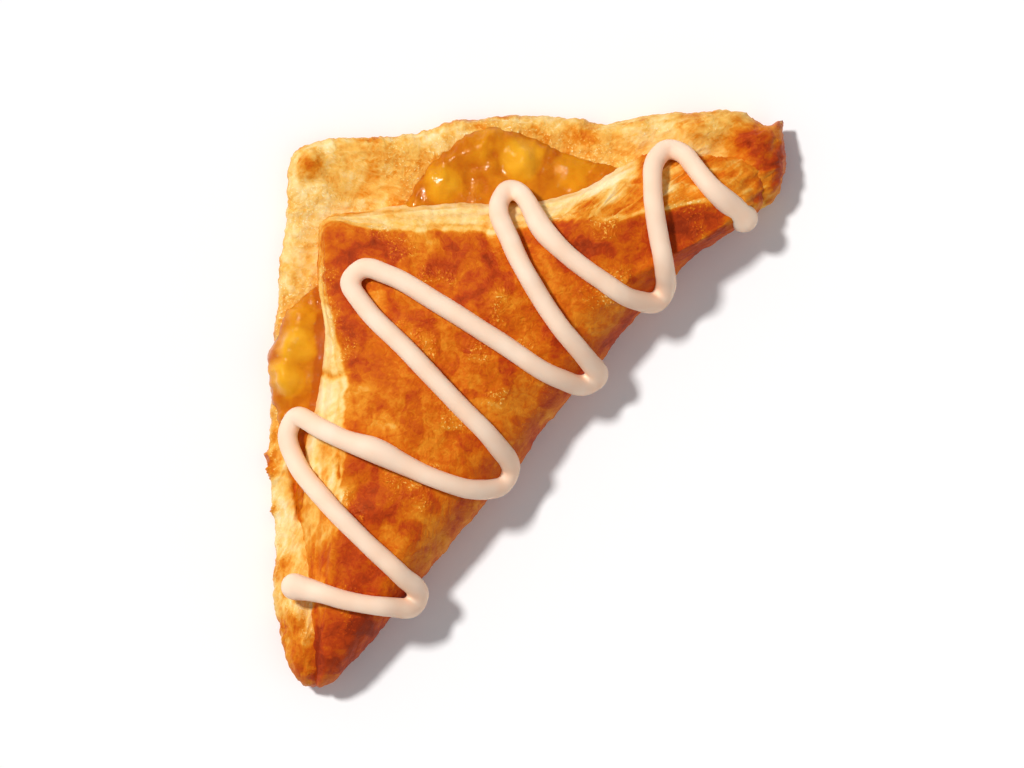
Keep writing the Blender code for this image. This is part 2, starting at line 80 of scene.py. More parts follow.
# Folded half, anticlockwise: x, y, foot height, wall run, shoulder height, cut (1 a cut side, 0 the fold).
FOLDED_STATIONS = [
    # corner flap and the cut side along -Y
    (-44.9, 39.4, 5.4, 1.6, 10, 1), (-45.6, 33, 5.5, 1.6, 10.8, 1), (-45.8, 25, 6.5, 2.2, 12, 1),
    (-44.8, 16, 7.4, 3.2, 13.5, 1), (-45.6, 7, 7.6, 5, 14.6, 1), (-46.5, -1, 7.6, 6.2, 15.4, 1),
    (-48.6, -9, 7.2, 7.6, 15.8, 1), (-49.5, -20, 6.6, 8, 15.6, 1), (-49.2, -32, 6.6, 7.4, 15.4, 1),
    (-48.3, -44, 7.2, 5.4, 15, 1), (-47.4, -52.6, 7.4, 3.8, 14.2, 0.6),
    # lower tip
    (-47.4, -59.4, 7.2, 3, 13.4, 0.3), (-46, -63.2, 6.6, 3, 12.8, 0), (-42.3, -61.9, 6.2, 4, 13, 0),
    # fold
    (-37.6, -57.4, 6, 6.5, 14.4, 0), (-30.7, -49.7, 6.2, 10, 16.8, 0), (-21.8, -38.1, 6.4, 12.5, 18.6, 0),
    (-10.2, -24.1, 6.6, 14, 19.8, 0), (-0.8, -13.2, 6.6, 14.5, 20.2, 0), (8.7, -0.3, 6.6, 14.5, 20.2, 0),
    (17.5, 9.5, 6.6, 14, 20, 0), (25.1, 19.1, 6.6, 13, 19.8, 0), (34.6, 29.1, 6.4, 11, 18.8, 0),
    (43.5, 36, 6.4, 8, 17.2, 0), (49.6, 40, 6.4, 5, 15.8, 0.2),
    # right tip
    (53.2, 43.5, 6.8, 3.8, 15, 0.6), (54.2, 47.6, 8.4, 4, 15.2, 1), (53.4, 51.6, 9, 5.5, 15.6, 1),
    (49.6, 54.4, 9, 8.5, 16.2, 1),
    # cut side back along -X
    (42, 55.2, 8.8, 11, 17.4, 1), (34, 55.2, 8.8, 12, 18, 1), (27, 54.2, 8.8, 11, 18, 1),
    (20, 50.8, 8.6, 9, 17.4, 1), (13, 46.9, 8.4, 7, 16.6, 1), (3, 44.5, 8.4, 6.2, 16, 1),
    (-8, 44, 8.4, 6, 15.4, 1), (-20, 43.7, 8, 6, 14.4, 1), (-31, 42.4, 6.8, 5.4, 12.8, 1),
    (-39, 41.2, 5.8, 3.4, 11.2, 1), (-43.6, 40.6, 5.4, 1.8, 10.2, 1),
]
FOLDED_CENTRE, FOLDED_INRADIUS = (-16.2, 12.5), 28.8
FOLDED_UNDERSIDE = 2.2

# Filling, anticlockwise: x, y, foot height, wall run, shoulder height.
FILLING_STATIONS = [
    (-43, 27, 5, 2, 8), (-48.4, 23.6, 5.4, 2, 7.6), (-52.6, 19.4, 5, 3, 8.2), (-55.2, 14, 4.4, 3.4, 8.6),
    (-57, 8.6, 4.4, 3.6, 8.8), (-56.8, 2.6, 4.4, 3.4, 8.6), (-54.8, -3.6, 4.8, 3, 8.2),
    (-52.8, -9, 5, 2, 7.8), (-50.8, -18, 5.2, 1.4, 7.4), (-49.9, -24.5, 5.2, 1.2, 7),
    (-44, -28, 5.2, 3, 7.5), (-38, -41, 5.4, 3, 7.5), (-27, -34, 6, 5, 9.5), (-6, -8, 6, 5, 10),
    (13, 14, 6, 5, 10), (32, 33, 5.8, 4, 9), (39, 42, 5.6, 3, 8.4), (30, 47.6, 5.6, 2.5, 9.2),
    (22.6, 51.6, 6, 2, 9), (14.4, 52.8, 5.6, 3, 9.2), (8.4, 54.8, 5.4, 3.4, 9.4),
    (2.6, 57.8, 5.2, 3.4, 9.2), (-4, 60.2, 5.2, 3.4, 9), (-9.6, 60.1, 5.2, 3.4, 9),
    (-15, 57.4, 5.2, 3, 8.8), (-20, 53.2, 5.2, 2.6, 8.6), (-24.2, 47.6, 5.2, 2.2, 8.2),
    (-26.4, 42.8, 5.2, 2, 8), (-33, 34.6, 5.2, 3, 8),
]
FILLING_CENTRE, FILLING_INRADIUS = (-16.2, 14.0), 30.0
FILLING_BED = 3.6

# Round lumps: x, y, radius, height.
APPLE_PIECES = [
    (-1, 53, 4.6, 1.7), (-18.4, 47.4, 4.2, 1.5), (-8, 57, 3.6, 0.8), (9.8, 50.4, 4, 0.9),
    (-50.6, 12, 4.4, 1.6), (-53, 5, 4.4, 1.5), (-49.4, 18, 3.2, 0.9),
]
LOWER_BLISTERS = [
    (-47.4, 51.6, 4.4, 1.3), (-34, 53.5, 6, 0.7), (24, 59.6, 5, 0.9), (38, 59.4, 6, 1.5), (50, 58, 5, 0.9),
    (-51.6, -47, 4, 0.9),
]
FOLDED_BLISTERS = [(-38, 18, 8, 0.6), (-8, 22, 9, 0.8), (10, 20, 8, 0.6), (-30, -24, 8, 0.7)]

# Icing, stroke by stroke: x, y, radius as a share of the bead's, slump down the side of the fold.
ICING_ROUTE = [
    (48, 40, 1.45, 7), (44.8, 42.9, 1.25, 4), (40.8, 46.6, 1.05, 1), (37.4, 50.8, 1, 0), (34.6, 54.2, 1, 0),
    (31.2, 55.2, 1, 0), (28.4, 52.4, 1, 0), (27.9, 46.8, 0.96, 0), (28.9, 37.6, 1, 0),
    (30.4, 29.4, 1.02, 1), (30.8, 25, 1.08, 4), (28.7, 21.6, 1.08, 4), (24.3, 21.9, 1.02, 1.6),
    (16.4, 26.4, 0.98, 0), (8.8, 32.2, 1, 0), (3.8, 37.4, 1.14, 0), (0.6, 43, 0.98, 0),
    (-0.9, 45.3, 0.98, 0), (-3.5, 46.4, 0.98, 0), (-5.8, 43.2, 0.98, 0), (-3.4, 35, 1, 0),
    (1.5, 25.4, 0.98, 0), (7.6, 16, 1, 0), (13.6, 8.8, 1.02, 1.4), (15.9, 5.4, 1.1, 3.2),
    (12.9, 3.3, 1.08, 3.6), (7.3, 4.8, 1.02, 1), (-5.3, 12.5, 1, 0), (-18.6, 20.9, 1.02, 0),
    (-30.6, 27.6, 1, 0), (-35.6, 28.9, 1, 0), (-38.5, 26, 1, 0), (-36.2, 21.8, 1, 0), (-26, 11, 1, 0),
    (-14.3, -1.4, 0.98, 0), (-7, -9.1, 1.02, 1.4), (-3.5, -14.8, 1.08, 5.4), (-5.4, -18.7, 1.06, 5.2),
    (-10.3, -19.7, 1.02, 1.8), (-18.8, -17.6, 0.96, 0), (-26.5, -14.2, 1.05, 0), (-32.5, -11.2, 1.28, 0),
    (-39.5, -8.8, 1.04, 0), (-46.2, -5.6, 1.05, 0), (-50.3, -3.7, 1, 0), (-52.3, -6.8, 1, 0),
    (-50.6, -13.4, 1, 0), (-44, -22, 0.98, 0), (-35.4, -30.8, 0.98, 0), (-27.3, -38.5, 1.02, 0.6),
    (-23.6, -42.5, 1.08, 1), (-24.8, -45.4, 1.06, 0.6), (-30, -45.4, 1, 0.4), (-39.6, -43.9, 0.96, 0),
    (-46.6, -41.9, 1.1, 0), (-50.8, -41, 1.35, 0),
]
BRIDGING, BRIDGING_STATIONS = 6, 150  # how often, and at how many places, the bead is eased over hollows
BEAD_CROWDING = 5.0  # travel in mm that each radian of turning counts for where places are handed out
BEAD_PLACES, BEAD_SIDES, BEAD_END_RINGS = 1150, 32, 12  # along it, round it and over each end
BEAD_BELLY = 0.86  # depth of the bead's lower half as a share of its radius
BEAD_UNEVENNESS = 0.05
BEAD_VOXEL, BEAD_SOFTENING = 0.36, 20  # cell that fuses strands in mm, and rounds of smoothing after it
PROBE_RINGS, PROBE_TURNS = 7, 16  # places under the bead where it may touch the crust

FALL_OFF = 3.0  # slope that carries a mound's side on past its outline, for the bead to lie against
SWELLS = [(9.0, 0.55), (4.0, 0.28)]  # cell size and height of the swelling that the solids have too
CUT_LAYERS = 3  # steps up a cut side
FULL_PIECE = 1.65  # height of a piece of apple that shows fully through the gel
RIDGE_MEAN = 0.4  # what ridges are worth on the whole
RELIEF_FROM = (0.2, 1.6)  # heights between which relief fades in over the resting face
RESTING = 0.02  # height that relief never goes below

# Rays round each mound and rings up its wall, the finest spacing, and the most that small rings are thinned.
CRUST_RAYS, FILLING_RAYS, OUTLINE_RAYS = 1440, 800, 720
LOWER_WALL_RINGS, FOLDED_WALL_RINGS, FILLING_WALL_RINGS = 15, 30, 12
FINEST, MOST_DOUBLINGS = 0.42, 4
FINE_STEPS = 12  # steps of a curve between two of the places that are kept

# Where patterns fade in: from and to, in mm along the axis or the distance that the code names.
SKINS_FROM, WIDE_SKINS_FROM, PAST_BAND = (8, 14), (23.5, 26), (3.6, 4.8)
STRIPES_FROM, JUICE_FROM, JUICE_REACH = (4, 14), (-14, -6), (-5, -0.5)
# TUCKED_FROM and TUCKED_REACH place the band of painted shade where the gel runs under the folded half's
# wall.
TUCKED_FROM, TUCKED_REACH = (30, 36), (-1.4, -0.2)
# WALL_FOOT_FROM places the painted shade along the foot of the left cut side.
RIM_LINE_FROM, WALL_FOOT_FROM = (-34, -24), (30, 40)

# ---- where the oven has browned the folded half: x, y, radius, change of bake ----
TOP_PATCHES = [
    (-4, 22, 6, -0.1), (3.9, 28.5, 4, -0.1), (-15.1, -2.6, 8, -0.1), (-1.9, -2.6, 6, -0.1),
    (-25.4, -14.8, 5, -0.1), (-38.5, -19.5, 4, -0.12), (-32.7, 23.1, 3.5, -0.15), (-23.5, 35.2, 3.6, -0.38),
    (-21, -27, 5, -0.1), (-27.6, -4.4, 5, -0.08), (-37, 3, 4.5, -0.18), (-50, -47, 4, -0.2),
    (-40, 34, 5, 0.12), (-38.6, 12.1, 4, 0.12), (-12.5, 20.5, 4, 0.18), (12.7, 35.6, 8, 0.04),
    (34.7, 35.6, 8, 0.09), (3.9, 20.2, 4, 0.08), (-36.5, -30, 6, 0.12), (-28.5, -20.5, 4, 0.16),
    (-38.6, -47.3, 8, 0.2), (-42.3, -53.9, 8, 0.14), (38.4, 39, 6, 0.08), (-20, 26.5, 5.5, 0.2),
    (-34.7, -5.7, 3, -0.26), (-28.5, -8.8, 3, -0.2), (-17, 10.6, 4, -0.1), (-32.9, 2.2, 3, -0.1),
    (15.4, 22.9, 3.5, 0.2), (26.9, 29.9, 3, 0.12), (-6.5, 16.5, 4.5, 0.16), (5.8, 15.8, 3, 0.2),
    (-5.6, 1.8, 4, 0.08), (-36.2, -36.5, 5, 0.24), (-15, 36.5, 4, -0.08), (9, 27, 3, -0.12),
    (-11.8, 7, 3, 0.12), (-20, 34, 3.5, -0.12), (-36.2, -28, 3, -0.1),
]
# The same for the folded half's cut sides.
SIDE_PATCHES = [
    (18, 47, 4, -0.34), (36, 46.5, 3, -0.12), (26, 50, 4, 0.08), (-25, 41, 9, 0.08), (-44.6, 0, 5, -0.12),
    (-43.5, -11, 2.4, 0.22), (-47, -22, 5, 0.18), (-46.5, -34, 6, 0.26), (-47, -46, 6, 0.42),
    (-46, -56, 6, 0.5), (-44.6, 32, 4, 0.1), (51.6, 44.5, 3, 0.22), (-43.4, -35, 4, 0.22),
    (-43.4, -26.5, 3, 0.2), (30.5, 47.5, 3, -0.34),
]
# How far the brown top's edge lies from the top of the cut side: x, y, radius, millimetres outwards.
EDGE_SHIFTS = [
    (-45, 38, 5, 1.3), (-45, 28, 8, 1.8), (-45, 14, 7, 1.2), (-45, 2, 8, 1.2), (-44, -16, 7, 1),
    (-46, -40, 9, 1.6), (-30, 40, 12, 2), (-16, 40, 7, 1), (4, 40, 8, 1.8), (16, 41, 6, 2.4),
    (27, 41, 5, 1.4), (45, 41, 5, 1.6),
]
# Where the oven has browned the lower half: x, y, radius, change of bake.
RIM_PATCHES = [
    (-47.4, 51.4, 2.8, 0.42), (-30, 50.5, 8, 0.2), (14, 58, 4, 0.24), (39.5, 61, 5, 0.2),
    (48.5, 56, 5.5, 0.38), (56, 52, 5, 0.42), (54.5, 45.5, 4.5, 0.22), (54, 58, 5, 0.3), (-54, -14, 5, 0.1),
    (-53, -37, 5, 0.22), (-51, -51.5, 5, 0.44), (-46.5, -61, 6, 0.46),
]
# Caramelised crumbs on the lower half's edge, and a flake standing off its right tip: x, y, radius, height.
CRUMBS = [(-56.4, -12.6, 1.5, 1), (-56, -15.8, 1.5, 0.9), (-55.4, -24.6, 1.1, 0.7), (55.8, 60.4, 1, 1.1)]
# Gaps between skins: the points (x, y) along each, half width, depth, and how much darker the tone is in the
# gap, which is dark juice in the lower half's gap and painted shade in the folded half's slits and grooves.
LOWER_GAPS = [(((-52.9, -8.8), (-51.8, -14), (-50.8, -19), (-49.9, -26)), 0.55, 1, 0.36)]
FOLDED_GAPS = [
    (((-41.4, -14.6), (-41.1, -17)), 0.4, 0.6, 0.35),
    (((-45.9, -50.2), (-46.4, -56), (-47.2, -62.8)), 0.6, 0.6, 0.2),
    (((-44.6, 6), (-42.4, 5), (-40.8, 5.3)), 0.8, 0.4, 0.22),
]

# Lights far off: name, power, apparent width, colour, height and heading in degrees.
SUNS = [("key", 2.7, 7, (1.0, 0.985, 0.96), 56, 144), ("fill", 0.3, 70, (1.0, 0.95, 0.93), 32, -36)]
SKY_COLOUR, SKY_STRENGTH = "#fafcff", 0.29
# Camera straight above: the view's pixels, the pixel over the origin, and mm to a pixel at the rim's level.
VIEW_WIDTH, VIEW_HEIGHT = 1024, 768
ORIGIN_ACROSS, ORIGIN_DOWN = 525.5, 400
MM_PER_PIXEL = 0.22
CAMERA_HEIGHT, RIM_LEVEL, FLOOR_SIZE = 2.5, 0.012, 6  # in metres


# ---- curves, noise and small sums ----
def read_evenly(curve, step, count, endpoint=True):
    """Rows of the curve read again at count places evenly spaced along the sum of its steps."""
    travelled = np.concatenate([[0.0], np.cumsum(step)])
    wanted = np.linspace(0, travelled[-1], count, endpoint=endpoint)
    return np.stack([np.interp(wanted, travelled, column) for column in curve.T], axis=1)


def smooth_curve(points, count, closed):
    """Cubic curve through the points, read at count places evenly spaced along it."""
    points = np.array(points, float)
    if closed:
        points = np.vstack([points[-2:], points, points[:3]])
    steps = np.linalg.norm(np.diff(points[:, :2], axis=0), axis=1)
    knots = np.concatenate([[0.0], np.cumsum(steps)])
    slopes = np.gradient(points, knots, axis=0)
    first, last = (2, len(points) - 3) if closed else (0, len(points) - 1)
    fine = np.linspace(knots[first], knots[last], count * FINE_STEPS + 1)
    piece = np.clip(np.searchsorted(knots, fine, side="right") - 1, 0, len(knots) - 2)
    width = (knots[piece + 1] - knots[piece])[:, None]
    u = (fine - knots[piece])[:, None] / width
    curve = (
        (2 * u**3 - 3 * u**2 + 1) * points[piece]
        + (u**3 - 2 * u**2 + u) * width * slopes[piece]
        + (3 * u**2 - 2 * u**3) * points[piece + 1]
        + (u**3 - u**2) * width * slopes[piece + 1]
    )
    step = np.linalg.norm(np.diff(curve[:, :2], axis=0), axis=1)
    return read_evenly(curve, step, count, endpoint=not closed)


def lattice_value(ix, iy, iz=0, seed=0):
    """A fixed number from -1 to 1 for each point of a lattice."""
    mixed = (ix * 374761393 + iy * 668265263 + iz * 2147483647 + seed * 974634777) & 0xFFFFFFFF
    mixed = ((mixed ^ (mixed >> 13)) * 1274126177) & 0xFFFFFFFF
    return ((mixed if seed == 0 else mixed ^ (mixed >> 16)) & 0xFFFF) / 32767.5 - 1.0


def flat_noise(x, y, cell):
    """Smooth value noise from -1 to 1 over the plan, as in the solids."""
    ix, iy = np.floor(x / cell).astype(np.int64), np.floor(y / cell).astype(np.int64)
    fx, fy = x / cell - ix, y / cell - iy
    ux, uy = fx * fx * (3 - 2 * fx), fy * fy * (3 - 2 * fy)
    low = lattice_value(ix, iy) * (1 - ux) + lattice_value(ix + 1, iy) * ux
    high = lattice_value(ix, iy + 1) * (1 - ux) + lattice_value(ix + 1, iy + 1) * ux
    return low * (1 - uy) + high * uy


def noise(points, cell, seed):
    """Smooth value noise from -1 to 1 in space: eight lattice values weighed by a quintic of the place
    between them. cell is one size, or one for each axis."""
    scaled = points / np.asarray(cell, float)
    corner = np.floor(scaled).astype(np.int64)
    part = scaled - corner
    ease = part**3 * (part * (part * 6 - 15) + 10)
    shares = (1 - ease, ease)
    total = 0
    for dx, dy, dz in product((0, 1), repeat=3):
        weight = shares[dx][..., 0] * shares[dy][..., 1] * shares[dz][..., 2]
        value = lattice_value(corner[..., 0] + dx, corner[..., 1] + dy, corner[..., 2] + dz, seed)
        total = total + weight * value
    return total


def fractal(points, cell, octaves, seed):
    """Noise plus finer noise, each octave half the size and half the strength of the last."""
    cell = np.asarray(cell, float)
    return sum(noise(points, cell / 2**n, seed + n) / 2**n for n in range(octaves))


def ridges(points, cell, octaves, seed):
    """Creases: one minus the size of the noise, so that its zero lines stand up as sharp ridges, less their
    mean."""
    cell = np.asarray(cell, float)
    parts = [(1 - np.abs(noise(points, cell / 2**n, seed + n))) ** 3 / 2**n for n in range(octaves)]
    return sum(parts) / (2 - 0.5 ** (octaves - 1)) - RIDGE_MEAN


def nearness(x, y, middle_x, middle_y, radius):
    """1 at the middle and 0 at the radius, falling with the square of the distance, and below 0 past it."""
    return 1 - ((x - middle_x) ** 2 + (y - middle_y) ** 2) / radius**2


def bubbles(x, y, cell, seed):
    """Blisters, one in each square cell: half-ball bumps of uneven place and size, from 0 to about 1."""
    ix, iy = np.floor(x / cell).astype(np.int64), np.floor(y / cell).astype(np.int64)
    height = np.zeros_like(x)
    for dx, dy in product((-1, 0, 1), repeat=2):
        jx, jy = ix + dx, iy + dy
        middle_x = (jx + 0.5 + 0.4 * lattice_value(jx, jy, 1, seed)) * cell
        middle_y = (jy + 0.5 + 0.4 * lattice_value(jx, jy, 2, seed)) * cell
        size = 0.5 + 0.5 * lattice_value(jx, jy, 3, seed)
        near = nearness(x, y, middle_x, middle_y, cell * (0.22 + 0.36 * size))
        height = np.maximum(height, (0.3 + 0.7 * size) * np.sqrt(np.clip(near, 0, None)))
    return height


def torn_skins(points, cell, seed):
    """Skins that tore apart, one to each cell of an uneven lattice: for each point the level, from -1 to 1,
    of the nearest jittered cell middle, and how much further off the second nearest is: 0 on the tear."""
    scaled = points / np.asarray(cell, float)
    corner = np.floor(scaled).astype(np.int64)
    nearest = np.full(scaled.shape[:-1], 9.0)
    second = nearest.copy()
    level = np.zeros_like(nearest)
    for offset in product((-1, 0, 1), repeat=3):
        at = corner + offset
        *jitter, own = (lattice_value(*np.moveaxis(at, -1, 0), seed + draw) for draw in (1, 2, 3, 4))
        far = np.linalg.norm(scaled - at - 0.5 - 0.4 * np.stack(jitter, axis=-1), axis=-1)
        level = np.where(far < nearest, own, level)
        second = np.minimum(second, np.maximum(far, nearest))
        nearest = np.minimum(far, nearest)
    return level, second - nearest


def gaps(points, table):
    """Depth and darkening of the tone in the gaps: a bell curve of the distance to the nearest part of each
    broken line. The darkening is dark juice in the lower half's gap and painted shade in the folded half's
    slits."""
    x, y = points[..., 0], points[..., 1]
    depth, tone = np.zeros_like(x), np.zeros_like(x)
    for line, half_width, deep, change in table:
        distance = np.full_like(x, 99.0)
        for (ax, ay), (bx, by) in zip(line, line[1:]):
            run_x, run_y = bx - ax, by - ay
            share = np.clip(((x - ax) * run_x + (y - ay) * run_y) / (run_x**2 + run_y**2), 0, 1)
            distance = np.minimum(distance, np.hypot(x - ax - share * run_x, y - ay - share * run_y))
        near = np.exp(-((distance / half_width) ** 2))
        depth, tone = depth + deep * near, tone + change * near
    return depth, tone


def smoothstep(value):
    """Clipped to 0 to 1, then 3 times the square less 2 times the cube."""
    value = np.clip(value, 0, 1)
    return value * value * (3 - 2 * value)


def between(value, low, high):
    """0 below low, 1 above high and a smooth step between."""
    return smoothstep((value - low) / (high - low))


def layered(share, layers):
    """0 to 1 up a cut side, with a flat tread and a steep riser for each layer."""
    turn = 2 * math.pi * layers * share
    return share - 0.8 * np.sin(turn) / (2 * math.pi * layers)


def along_rim(rim, third):
    """Places for a pattern that runs along the rim: the nearest outline point, then the third coordinate."""
    return np.stack([rim[..., 0], rim[..., 1], third], axis=-1)


def patches(x, y, table):
    """Sum of round patches that fade out like a bell curve."""
    total = np.zeros_like(x)
    for patch_x, patch_y, radius, change in table:
        total += change * np.exp(nearness(x, y, patch_x, patch_y, radius) - 1)
    return total


# ---- mounds ----
class Mound:
    """A ring of stations (x, y, foot, run, shoulder, cut) round a centre, and the surface they describe."""

    def __init__(self, stations, centre, inradius, crown, lumps):
        self.stations = stations
        self.centre = np.array(centre)
        self.inradius = inradius
        self.crown = crown
        self.lumps = lumps
        ring = smooth_curve(stations, OUTLINE_RAYS, closed=True)
        away = ring[:, :2] - self.centre
        angle = np.arctan2(away[:, 1], away[:, 0])
        order = np.argsort(angle)
        self.angles = angle[order]
        self.table = np.column_stack([np.linalg.norm(away, axis=1), ring[:, 2:]])[order]

    def around(self, angle):
        """Outline radius, foot, run, shoulder and cut in the direction of each angle."""
        return [np.interp(angle, self.angles, column, period=2 * math.pi) for column in self.table.T]

    def profile(self, inset, foot, run, shoulder, cut):
        """Height at a distance in from the outline: a rounded wall, stepped where cut, on a shallow dome."""
        share = np.clip(inset / run, 0, 1)
        share = share + cut * (layered(share, CUT_LAYERS) - share)
        bulge = 2.0 - 0.7 * cut
        wall = foot + (shoulder - foot) * (1 - (1 - share) ** bulge) ** (1 / bulge)
        return wall + (self.crown - shoulder) * (1 - (1 - inset / self.inradius) ** 2)

    def relief(self, x, y, inset):
        """Gentle swells, and round lumps that fade in from the rim."""
        height = sum(rise * flat_noise(x, y, cell) for cell, rise in SWELLS) * smoothstep(inset / 3)
        for lump_x, lump_y, radius, rise in self.lumps:
            near = nearness(x, y, lump_x, lump_y, radius)
            height = height + rise * np.clip(near, 0, None) ** 1.5 * smoothstep(inset / 2)
        return height

    def inset(self, x, y):
        """How far in from the outline each point of the plan lies, which is the inradius times one minus the
        point's share of the way from the centre, and the stations' columns in its direction."""
        away_x, away_y = x - self.centre[0], y - self.centre[1]
        radius, *columns = self.around(np.arctan2(away_y, away_x))
        return (1 - np.hypot(away_x, away_y) / radius) * self.inradius, columns

    def height(self, x, y):
        """Height of the top over each point of the plan. Past the outline it falls away steeply."""
        inset, (foot, run, shoulder, cut) = self.inset(x, y)
        top = self.profile(np.maximum(inset, 0), foot, run, shoulder, cut) + self.relief(x, y, inset)
        return np.where(inset >= 0, top, foot + FALL_OFF * inset)

    def grid(self, rays, wall_rings, top_shares, under):
        """The surface as rows of points (ring, ray, xyz) from the crown to the rim and back under, with the
        inset, run and cut of each point and its nearest outline point, for patterns that follow the rim."""
        outline = smooth_curve(self.stations, rays, closed=True)
        outer = outline[:, :2] - self.centre
        foot, run, shoulder, cut = outline[:, 2:].T
        insets = [run + (self.inradius - run) * share for share in top_shares[::-1]]
        insets = np.array(insets + [run * share for share in np.linspace(0, 1, wall_rings)[::-1]])
        plan = self.centre + outer * (1 - insets / self.inradius)[:, :, None]
        tops = self.profile(insets, foot, run, shoulder, cut)
        tops = tops + self.relief(plan[..., 0], plan[..., 1], insets)
        upper = np.concatenate([plan, tops[:, :, None]], axis=2)
        lower, lower_insets = [], []
        for inset, height in under(foot, cut):
            flat = self.centre + outer * (1 - inset / self.inradius)
            lower.append(np.column_stack([flat, np.broadcast_to(height, foot.shape)]))
            lower_insets.append(np.broadcast_to(-inset, foot.shape))
        points = np.concatenate([upper, np.array(lower)])
        inset = np.concatenate([insets, np.array(lower_insets)])
        rim = np.broadcast_to(np.column_stack([outline[:, :2], 0 * foot]), points.shape)
        run, cut = (np.broadcast_to(column, inset.shape) for column in (run, cut))
        return points, inset, run, cut, rim


def normals(points):
    """Outward unit normals of a closed grid, from the differences between neighbours along and across it."""
    along = np.roll(points, -1, axis=1) - np.roll(points, 1, axis=1)
    across = np.gradient(points, axis=0)
    normal = -np.cross(along, across)
    length = np.linalg.norm(normal, axis=2, keepdims=True)
    normal = normal / np.maximum(length, 1e-9)
    normal[0], normal[-1] = (0, 0, 1), (0, 0, -1)
    return normal


def put_mesh(name, points, faces_of_four, faces_of_three, attributes):
    """A smooth-shaded mesh from arrays in mm, with its float attributes, linked to the scene."""
    mesh = bpy.data.meshes.new(name)
    quads, triangles = np.asarray(faces_of_four, np.int32), np.asarray(faces_of_three, np.int32)
    mesh.vertices.add(len(points))
    mesh.vertices.foreach_set("co", (points * MM).astype(np.float32).ravel())
    loops = np.concatenate([quads.ravel(), triangles.ravel()])
    sizes = np.concatenate([np.full(len(quads), 4), np.full(len(triangles), 3)])
    mesh.loops.add(len(loops))
    mesh.loops.foreach_set("vertex_index", loops)
    mesh.polygons.add(len(sizes))
    mesh.polygons.foreach_set("loop_start", np.concatenate([[0], np.cumsum(sizes)[:-1]]).astype(np.int32))
    mesh.update(calc_edges=True)
    mesh.validate()
    mesh.shade_smooth()
    for label, values in attributes.items():
        layer = mesh.attributes.new(label, "FLOAT", "POINT")
        layer.data.foreach_set("value", np.asarray(values, np.float32).ravel())
    obj = bpy.data.objects.new(name, mesh)
    bpy.context.scene.collection.objects.link(obj)
    return obj


def ring_steps(points):
    """How many rays apart each ring keeps its points: 1, or as many times doubled as keeps them from lying
    closer than FINEST. Neighbouring rings never differ by more than one doubling."""
    rings = len(points)
    around = np.linalg.norm(points - np.roll(points, 1, axis=1), axis=2).mean(axis=1)
    doublings = np.floor(np.log2(FINEST / np.maximum(around, 1e-6)))
    doublings = np.clip(doublings, 0, MOST_DOUBLINGS).astype(int)
    for ring in range(rings - 2, 0, -1):
        doublings[ring - 1] = min(doublings[ring - 1], doublings[ring] + 1)
    for ring in range(1, rings):
        doublings[ring] = min(doublings[ring], doublings[ring - 1] + 1)
    return 2**doublings


def put_ball(name, points, attributes):
    """A closed grid whose first and last rings are poles, as a mesh: quads between rings with as many points,
    three triangles for each step where the next ring has half or twice as many, and a fan at each pole."""
    rings, rays = points.shape[:2]
    steps = ring_steps(points)
    kept = [np.arange(0, rays, step) for step in steps]
    kept[0] = kept[-1] = np.array([0])
    starts = np.concatenate([[0], np.cumsum([len(ring) for ring in kept])])
    quads, triangles = [], []
    for ring in range(1, rings - 2):
        upper, lower = (starts[i] + np.arange(len(kept[i])) for i in (ring, ring + 1))
        if len(upper) == len(lower):
            quads.append(np.column_stack([upper, lower, np.roll(lower, -1), np.roll(upper, -1)]))
        elif len(upper) < len(lower):
            even, odd, after, beyond = lower[::2], lower[1::2], np.roll(lower, -2)[::2], np.roll(upper, -1)
            triangles += [(upper, even, odd), (upper, odd, beyond), (beyond, odd, after)]
        else:
            even, odd, after, beyond = upper[::2], upper[1::2], np.roll(upper, -2)[::2], np.roll(lower, -1)
            triangles += [(even, lower, odd), (odd, lower, beyond), (odd, beyond, after)]
    first, last = starts[1] + np.arange(len(kept[1])), starts[-3] + np.arange(len(kept[-2]))
    triangles.append((starts[0] + 0 * first, first, np.roll(first, -1)))
    triangles.append((starts[-2] + 0 * last, np.roll(last, -1), last))

    def flat(values):
        return np.concatenate([values[ring, rays_kept] for ring, rays_kept in enumerate(kept)])

    corners = np.concatenate([np.column_stack(triangle) for triangle in triangles])
    kept_attributes = {label: flat(values) for label, values in attributes.items()}
    return put_mesh(name, flat(points), np.concatenate(quads), corners, kept_attributes)


# ---- crust ----
def lower_mound():
    """The lower half: every wall is as wide, and its foot is a share of the rim's height."""
    stations = [(x, y, FOOT_OF_RIM * rim, RIM_RUN, rim, 0) for x, y, rim in LOWER_STATIONS]
    crown = bpy.context.scene.turnover_shape.bed_height / MM
    return Mound(stations, LOWER_CENTRE, LOWER_INRADIUS, crown, LOWER_BLISTERS)


def folded_mound():
    """The folded half, with its stations as they stand."""
    crown = bpy.context.scene.turnover_shape.crown_height / MM
    return Mound(FOLDED_STATIONS, FOLDED_CENTRE, FOLDED_INRADIUS, crown, FOLDED_BLISTERS)


def filling_mound():
    """The filling, nowhere cut, with the pieces of apple as its lumps."""
    stations = [(*station, 0) for station in FILLING_STATIONS]
    crown = bpy.context.scene.turnover_shape.filling_height / MM
    return Mound(stations, FILLING_CENTRE, FILLING_INRADIUS, crown, APPLE_PIECES)


def displaced(points, distance):
    """The grid moved along its normals, fading to nothing at the resting face, and never below it."""
    moved = points + normals(points) * (distance * between(points[..., 2], *RELIEF_FROM))[..., None]
    moved[..., 2] = np.maximum(moved[..., 2], np.minimum(points[..., 2], RESTING))
    return moved


def warped(points, cell, reach, seed):
    """The points pushed about sideways by noise, so that patterns read at them flow and fold."""
    push = np.stack([noise(points, cell, seed), noise(points, cell, seed + 1), 0 * points[..., 0]], axis=-1)
    return points + reach * push


